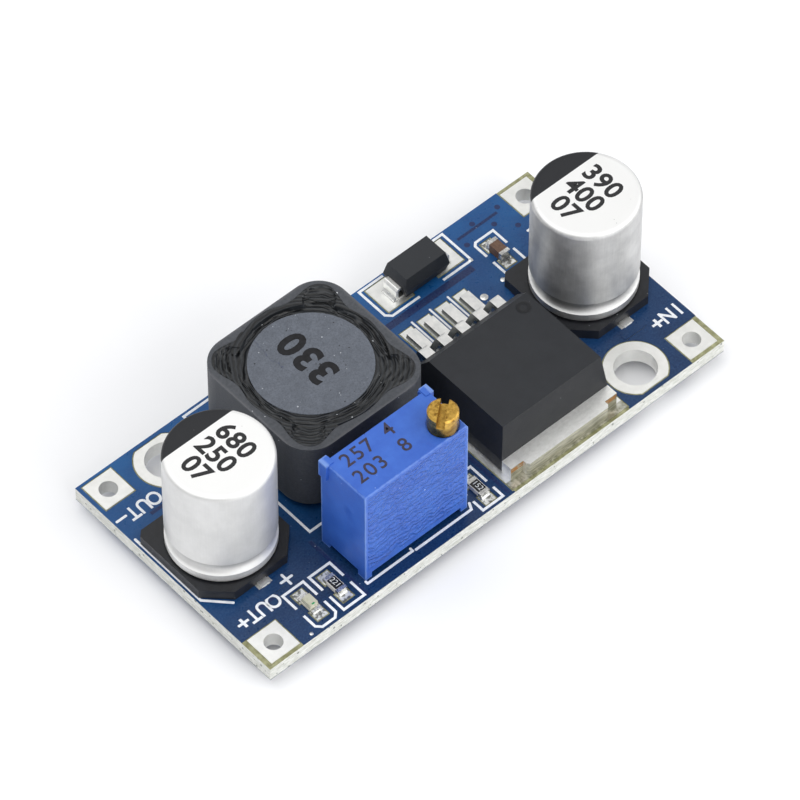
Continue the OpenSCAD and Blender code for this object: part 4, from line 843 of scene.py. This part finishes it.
dots = {"tinned": [(11.34, 3.88, 0.3), (12.89, 7.04, 0.17), (13.42, 4.16, 0.2), (-17.4, -10.05, 0.14)],
        "tinnedRise": 0.07, "viaRadius": 0.22, "viaRise": 0.012,
        "vias": [(17.61, 9.40), (16.39, 8.38), (17.62, 7.16), (15.20, 9.44), (13.63, 8.25)]}
tinDots = [boardDot(x, y, radius, dots["tinnedRise"]) for x, y, radius in dots["tinned"]]
fitOut(joinPieces(tinDots, "test_points"), "solder")
viaDots = [boardDot(x, y, dots["viaRadius"], dots["viaRise"]) for x, y in dots["vias"]]
fitOut(joinPieces(viaDots, "covered_vias"), "via_tent")
print("board dots done")

# mask over the outer part of the can lands, so that only the solder shows
coverLook = {"width": 2.12, "depth": 0.9, "fromBase": 0.93, "thick": 0.022, "sideWide": 0.5,
             "sideDeep": 0.9, "sideOut": 0.86, "sideFromBase": 0.3, "sideThick": {-1: 0.017, 1: 0.019},
             "corner": 0.08, "sink": 0.004}


def maskCover(x, y, width, depth, thick):
    cover = flatPlate(width, depth)
    bpy.ops.mesh.bevel(offset=coverLook["corner"] * mm, segments=2, affect="VERTICES")
    thicken(thick)
    putAt(cover, x, y, boardTop - coverLook["sink"])
    return cover


covers = []
for node in ("input_cap_base", "output_cap_base"):
    low, high = lowHigh(node)
    midX = (low.x + high.x) / 2
    for side, edge in ((-1, low.y), (1, high.y)):
        covers.append(maskCover(midX, edge + side * coverLook["fromBase"], coverLook["width"],
                                coverLook["depth"], coverLook["thick"]))
        for hand, thick in coverLook["sideThick"].items():
            covers.append(maskCover(midX + hand * coverLook["sideOut"],
                                    edge + side * coverLook["sideFromBase"], coverLook["sideWide"],
                                    coverLook["sideDeep"], thick))
fitOut(joinPieces(covers, "land_covers"), "solder_mask")
print("land covers done")

# rounded solder in place of the plain wedges
solderLook = {"merge": 0.001, "voxel": 0.045, "flow": 0.6, "passes": 6}
blobs = bpy.data.objects.new("solder_joints", nodes["solder_fillets"].data.copy())
bpy.context.scene.collection.objects.link(blobs)
pickOnly(blobs)
cleanShell(solderLook["merge"])
fuse = blobs.modifiers.new("Fuse", "REMESH")
fuse.mode, fuse.voxel_size = "VOXEL", solderLook["voxel"] * mm
flow = blobs.modifiers.new("Flow", "SMOOTH")
flow.factor, flow.iterations = solderLook["flow"], solderLook["passes"]
for modifier in (fuse, flow):
    bpy.ops.object.modifier_apply(modifier=modifier.name)
bpy.ops.object.shade_smooth()
fitOut(blobs, "solder")
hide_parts("solder_fillets")
print("solder done,", len(blobs.data.polygons), "faces")

# wrinkled epoxy between the inductor's shield and drum, running over the rim; turns in radians
glueLook = {"inner": 4.44, "reach": 5.5, "lobe": 1.62, "lobeTurn": 0.26, "lobeShape": 2.4, "spill": 0.34,
            "spillTurn": 0.55, "ragged": 0.11, "sag": 0.22, "fold": 0.06, "folds": 4.4, "wander": 0.9,
            "lump": 0.08, "rimGap": 0.012, "rimRise": 0.07, "deep": 7.35, "drop": 4, "steps": 288,
            "rings": 40, "opening": 5.31, "pocketAt": 5.8, "pocket": 1.16}
drumTop = lowHigh("inductor_drum")[1].z
shieldTop = lowHigh("inductor_shield")[1].z
drumMid = middle("inductor_drum").xy
shieldMid = middle("inductor_shield").xy


def epoxyReach(turn):
    # how far the epoxy reaches from the middle of the opening: four lobes, and a spill to the back
    swing = (turn % (math.pi / 2)) - math.pi / 4
    reach = glueLook["reach"]
    reach += glueLook["lobe"] * math.exp(-abs(swing / glueLook["lobeTurn"]) ** glueLook["lobeShape"])
    far = (turn - math.pi / 2 + math.pi) % (2 * math.pi) - math.pi
    reach += glueLook["spill"] * math.exp(-(far / glueLook["spillTurn"]) ** 2)
    return reach + glueLook["ragged"] * noise.noise(Vector((math.cos(turn) * 4, math.sin(turn) * 4, 7.0)))


def inOpening(p):
    # inside the shield's round opening or one of its four corner pockets
    if (p - shieldMid).length < glueLook["opening"]:
        return True
    return any((p - shieldMid - Vector((sx, sy)) * glueLook["pocketAt"] / math.sqrt(2)).length
               < glueLook["pocket"] for sx in (-1, 1) for sy in (-1, 1))


def epoxyPoint(share, turn):
    # a point of the folded top, from the drum (share 0) to the outer edge (share 1)
    way = Vector((math.cos(turn), math.sin(turn)))
    p = (drumMid + way * glueLook["inner"]).lerp(shieldMid + way * epoxyReach(turn), share)
    wander = noise.noise(Vector((way.x * 2.4, way.y * 2.4, share * 1.2)))
    fold = math.sin(2 * math.pi * (share * glueLook["folds"] + wander * glueLook["wander"]))
    lump = noise.noise(Vector((p.x * 1.3, p.y * 1.3, 3.0)))
    calm = math.sin(math.pi * share) ** 0.6
    z = drumTop - 0.02 + (shieldTop + 0.03 - drumTop) * share ** 2
    z += calm * (-glueLook["sag"] * (1 - share ** 2) + glueLook["fold"] * (0.8 + lump) * fold
                 + glueLook["lump"] * lump)
    if not inOpening(p):
        z = max(z, shieldTop + glueLook["rimGap"] + glueLook["rimRise"] * min(1.0, (1 - share) * 14))
    return Vector((p.x, p.y, z)) * mm


pickNone()
bpy.ops.mesh.primitive_circle_add(vertices=glueLook["steps"], radius=glueLook["inner"] * mm,
                                  fill_type="NOTHING",
                                  location=(drumMid.x * mm, drumMid.y * mm, drumTop * mm))
settle()
glue = bpy.context.object
editOn()
for ring in range(glueLook["rings"]):
    bpy.ops.mesh.extrude_region_move()
editOff()
for i, v in enumerate(glue.data.vertices):
    ring, step = divmod(i, glueLook["steps"])
    v.co = epoxyPoint(ring / glueLook["rings"], 2 * math.pi * step / glueLook["steps"])
editOn()
raiseBy(-glueLook["drop"])
editOff()
for v in glue.data.vertices:
    if v.co.z < (shieldTop - glueLook["drop"] / 2) * mm:  # the lower skin follows the shield's opening
        v.co.z = (glueLook["deep"] if inOpening(v.co.xy / mm) else shieldTop - 0.01) * mm
cleanShell()
bpy.ops.object.shade_smooth_by_angle(angle=math.radians(60))
fitOut(glue, "black_glue")
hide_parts("inductor_glue")
print("epoxy done,", len(glue.data.polygons), "faces")

# epoxy smeared on the shield's rim
smearLook = {"thick": 0.028, "ragged": 0.34, "sink": 0.006,
             "spots": [(-9.45, 6.9, 3.0, 0.75, 62, 1.0), (-8.0, 8.35, 2.4, 0.6, 28, 2.0),
                       (-10.4, 4.2, 1.8, 0.4, 86, 3.0), (-1.1, 7.6, 1.5, 0.45, -48, 4.0)]}


def rimSmear(x, y, length, width, turn, seed):
    pickNone()
    bpy.ops.mesh.primitive_circle_add(vertices=40, radius=mm, fill_type="NGON")
    smear = bpy.context.object
    smear.scale = (length / 2, width / 2, 1)
    settle()
    editOn()
    raiseBy(smearLook["thick"])
    bpy.ops.transform.resize(value=(0.86, 0.7, 1))
    editOff()
    for v in smear.data.vertices:
        at = math.atan2(v.co.y, v.co.x)
        r = 1 + smearLook["ragged"] * noise.noise(Vector((math.cos(at) * 1.7, math.sin(at) * 1.7, seed)))
        v.co.x *= r
        v.co.y *= r
    putAt(smear, x, y, shieldTop - smearLook["sink"], turn)
    cleanShell()
    return smear


fitOut(joinPieces([rimSmear(*spot) for spot in smearLook["spots"]], "epoxy_smears"), "black_glue")
print("smears done")

# floor, light and camera
studio = {"floorSize": 6.0, "paper": (246, 247, 249), "paperLight": (250, 250, 252),
          "airLow": (0.54, 0.55, 0.56, 1), "airHigh": (1.0, 1.0, 1.0, 1), "air": 0.72,
          "panels": {"key_panel": ((-0.16, 0.14, 0.5), 0.6, 1.2),  # place, size and watts
                     "side_panel": ((0.40, -0.24, 0.26), 0.4, 0.66),
                     "front_panel": ((0.02, -0.46, 0.26), 0.44, 1.1)}}
floorZ = lowHigh("trimmer_pins")[0].z - 0.01  # the pins are the lowest part
pickNone()
bpy.ops.mesh.primitive_plane_add(size=studio["floorSize"], location=(0, 0, floorZ * mm))
floor = bpy.context.object
floor.name = "studio_floor"
f = Finish("floor_paper")
f.paint(f.blend(f.group(patchyTone, Scale=0.05, Contrast=0.6), studio["paper"], studio["paperLight"]))
f.shader.inputs["Roughness"].default_value = 0.9
f.shader.inputs["Specular IOR Level"].default_value = 0.2
floor.data.materials.append(finishes["floor_paper"])

world = bpy.data.worlds.new("studio_air")
bpy.context.scene.world = world
world.use_nodes = True
air = world.node_tree
coords = addNode(air, "TexCoord")
xyz = addNode(air, "SeparateXYZ", {0: coords.outputs["Generated"]})
rise = calc(air, "MULTIPLY_ADD", xyz.outputs[2], 0.75, 0.35, clamp=True)
air.links.new(blendTwo(air, rise, studio["airLow"], studio["airHigh"]), air.nodes["Background"].inputs[0])
air.nodes["Background"].inputs[1].default_value = studio["air"]

for name, (place, size, watts) in studio["panels"].items():
    light = bpy.data.lights.new(name, "AREA")
    light.shape, light.size, light.energy = "SQUARE", size, watts
    panel = bpy.data.objects.new(name, light)
    bpy.context.scene.collection.objects.link(panel)
    panel.location = place
    panel.rotation_euler = (-Vector(place)).to_track_quat("-Z", "Y").to_euler()

# target and distance in millimetres, angles in degrees, clip in metres
shot = {"target": (1.343, 1.748, 0.0), "azimuth": -41.783, "elevation": 52.791, "distance": 498.8,
        "lens": 315.74, "sensor": 36.0, "clip": (0.01, 20.0)}
camera = bpy.data.objects.new("shot_camera", bpy.data.cameras.new("shot_camera"))
bpy.context.scene.collection.objects.link(camera)
azimuth, elevation = math.radians(shot["azimuth"]), math.radians(shot["elevation"])
back = Vector((math.sin(azimuth) * math.cos(elevation), -math.cos(azimuth) * math.cos(elevation),
               math.sin(elevation)))
camera.location = (Vector(shot["target"]) + back * shot["distance"]) * mm
camera.rotation_euler = (-back).to_track_quat("-Z", "Y").to_euler()
camera.data.lens, camera.data.sensor_width = shot["lens"], shot["sensor"]
camera.data.clip_start, camera.data.clip_end = shot["clip"]
bpy.context.scene.camera = camera
bpy.context.scene.view_settings.view_transform = "Standard"
print("studio ready")
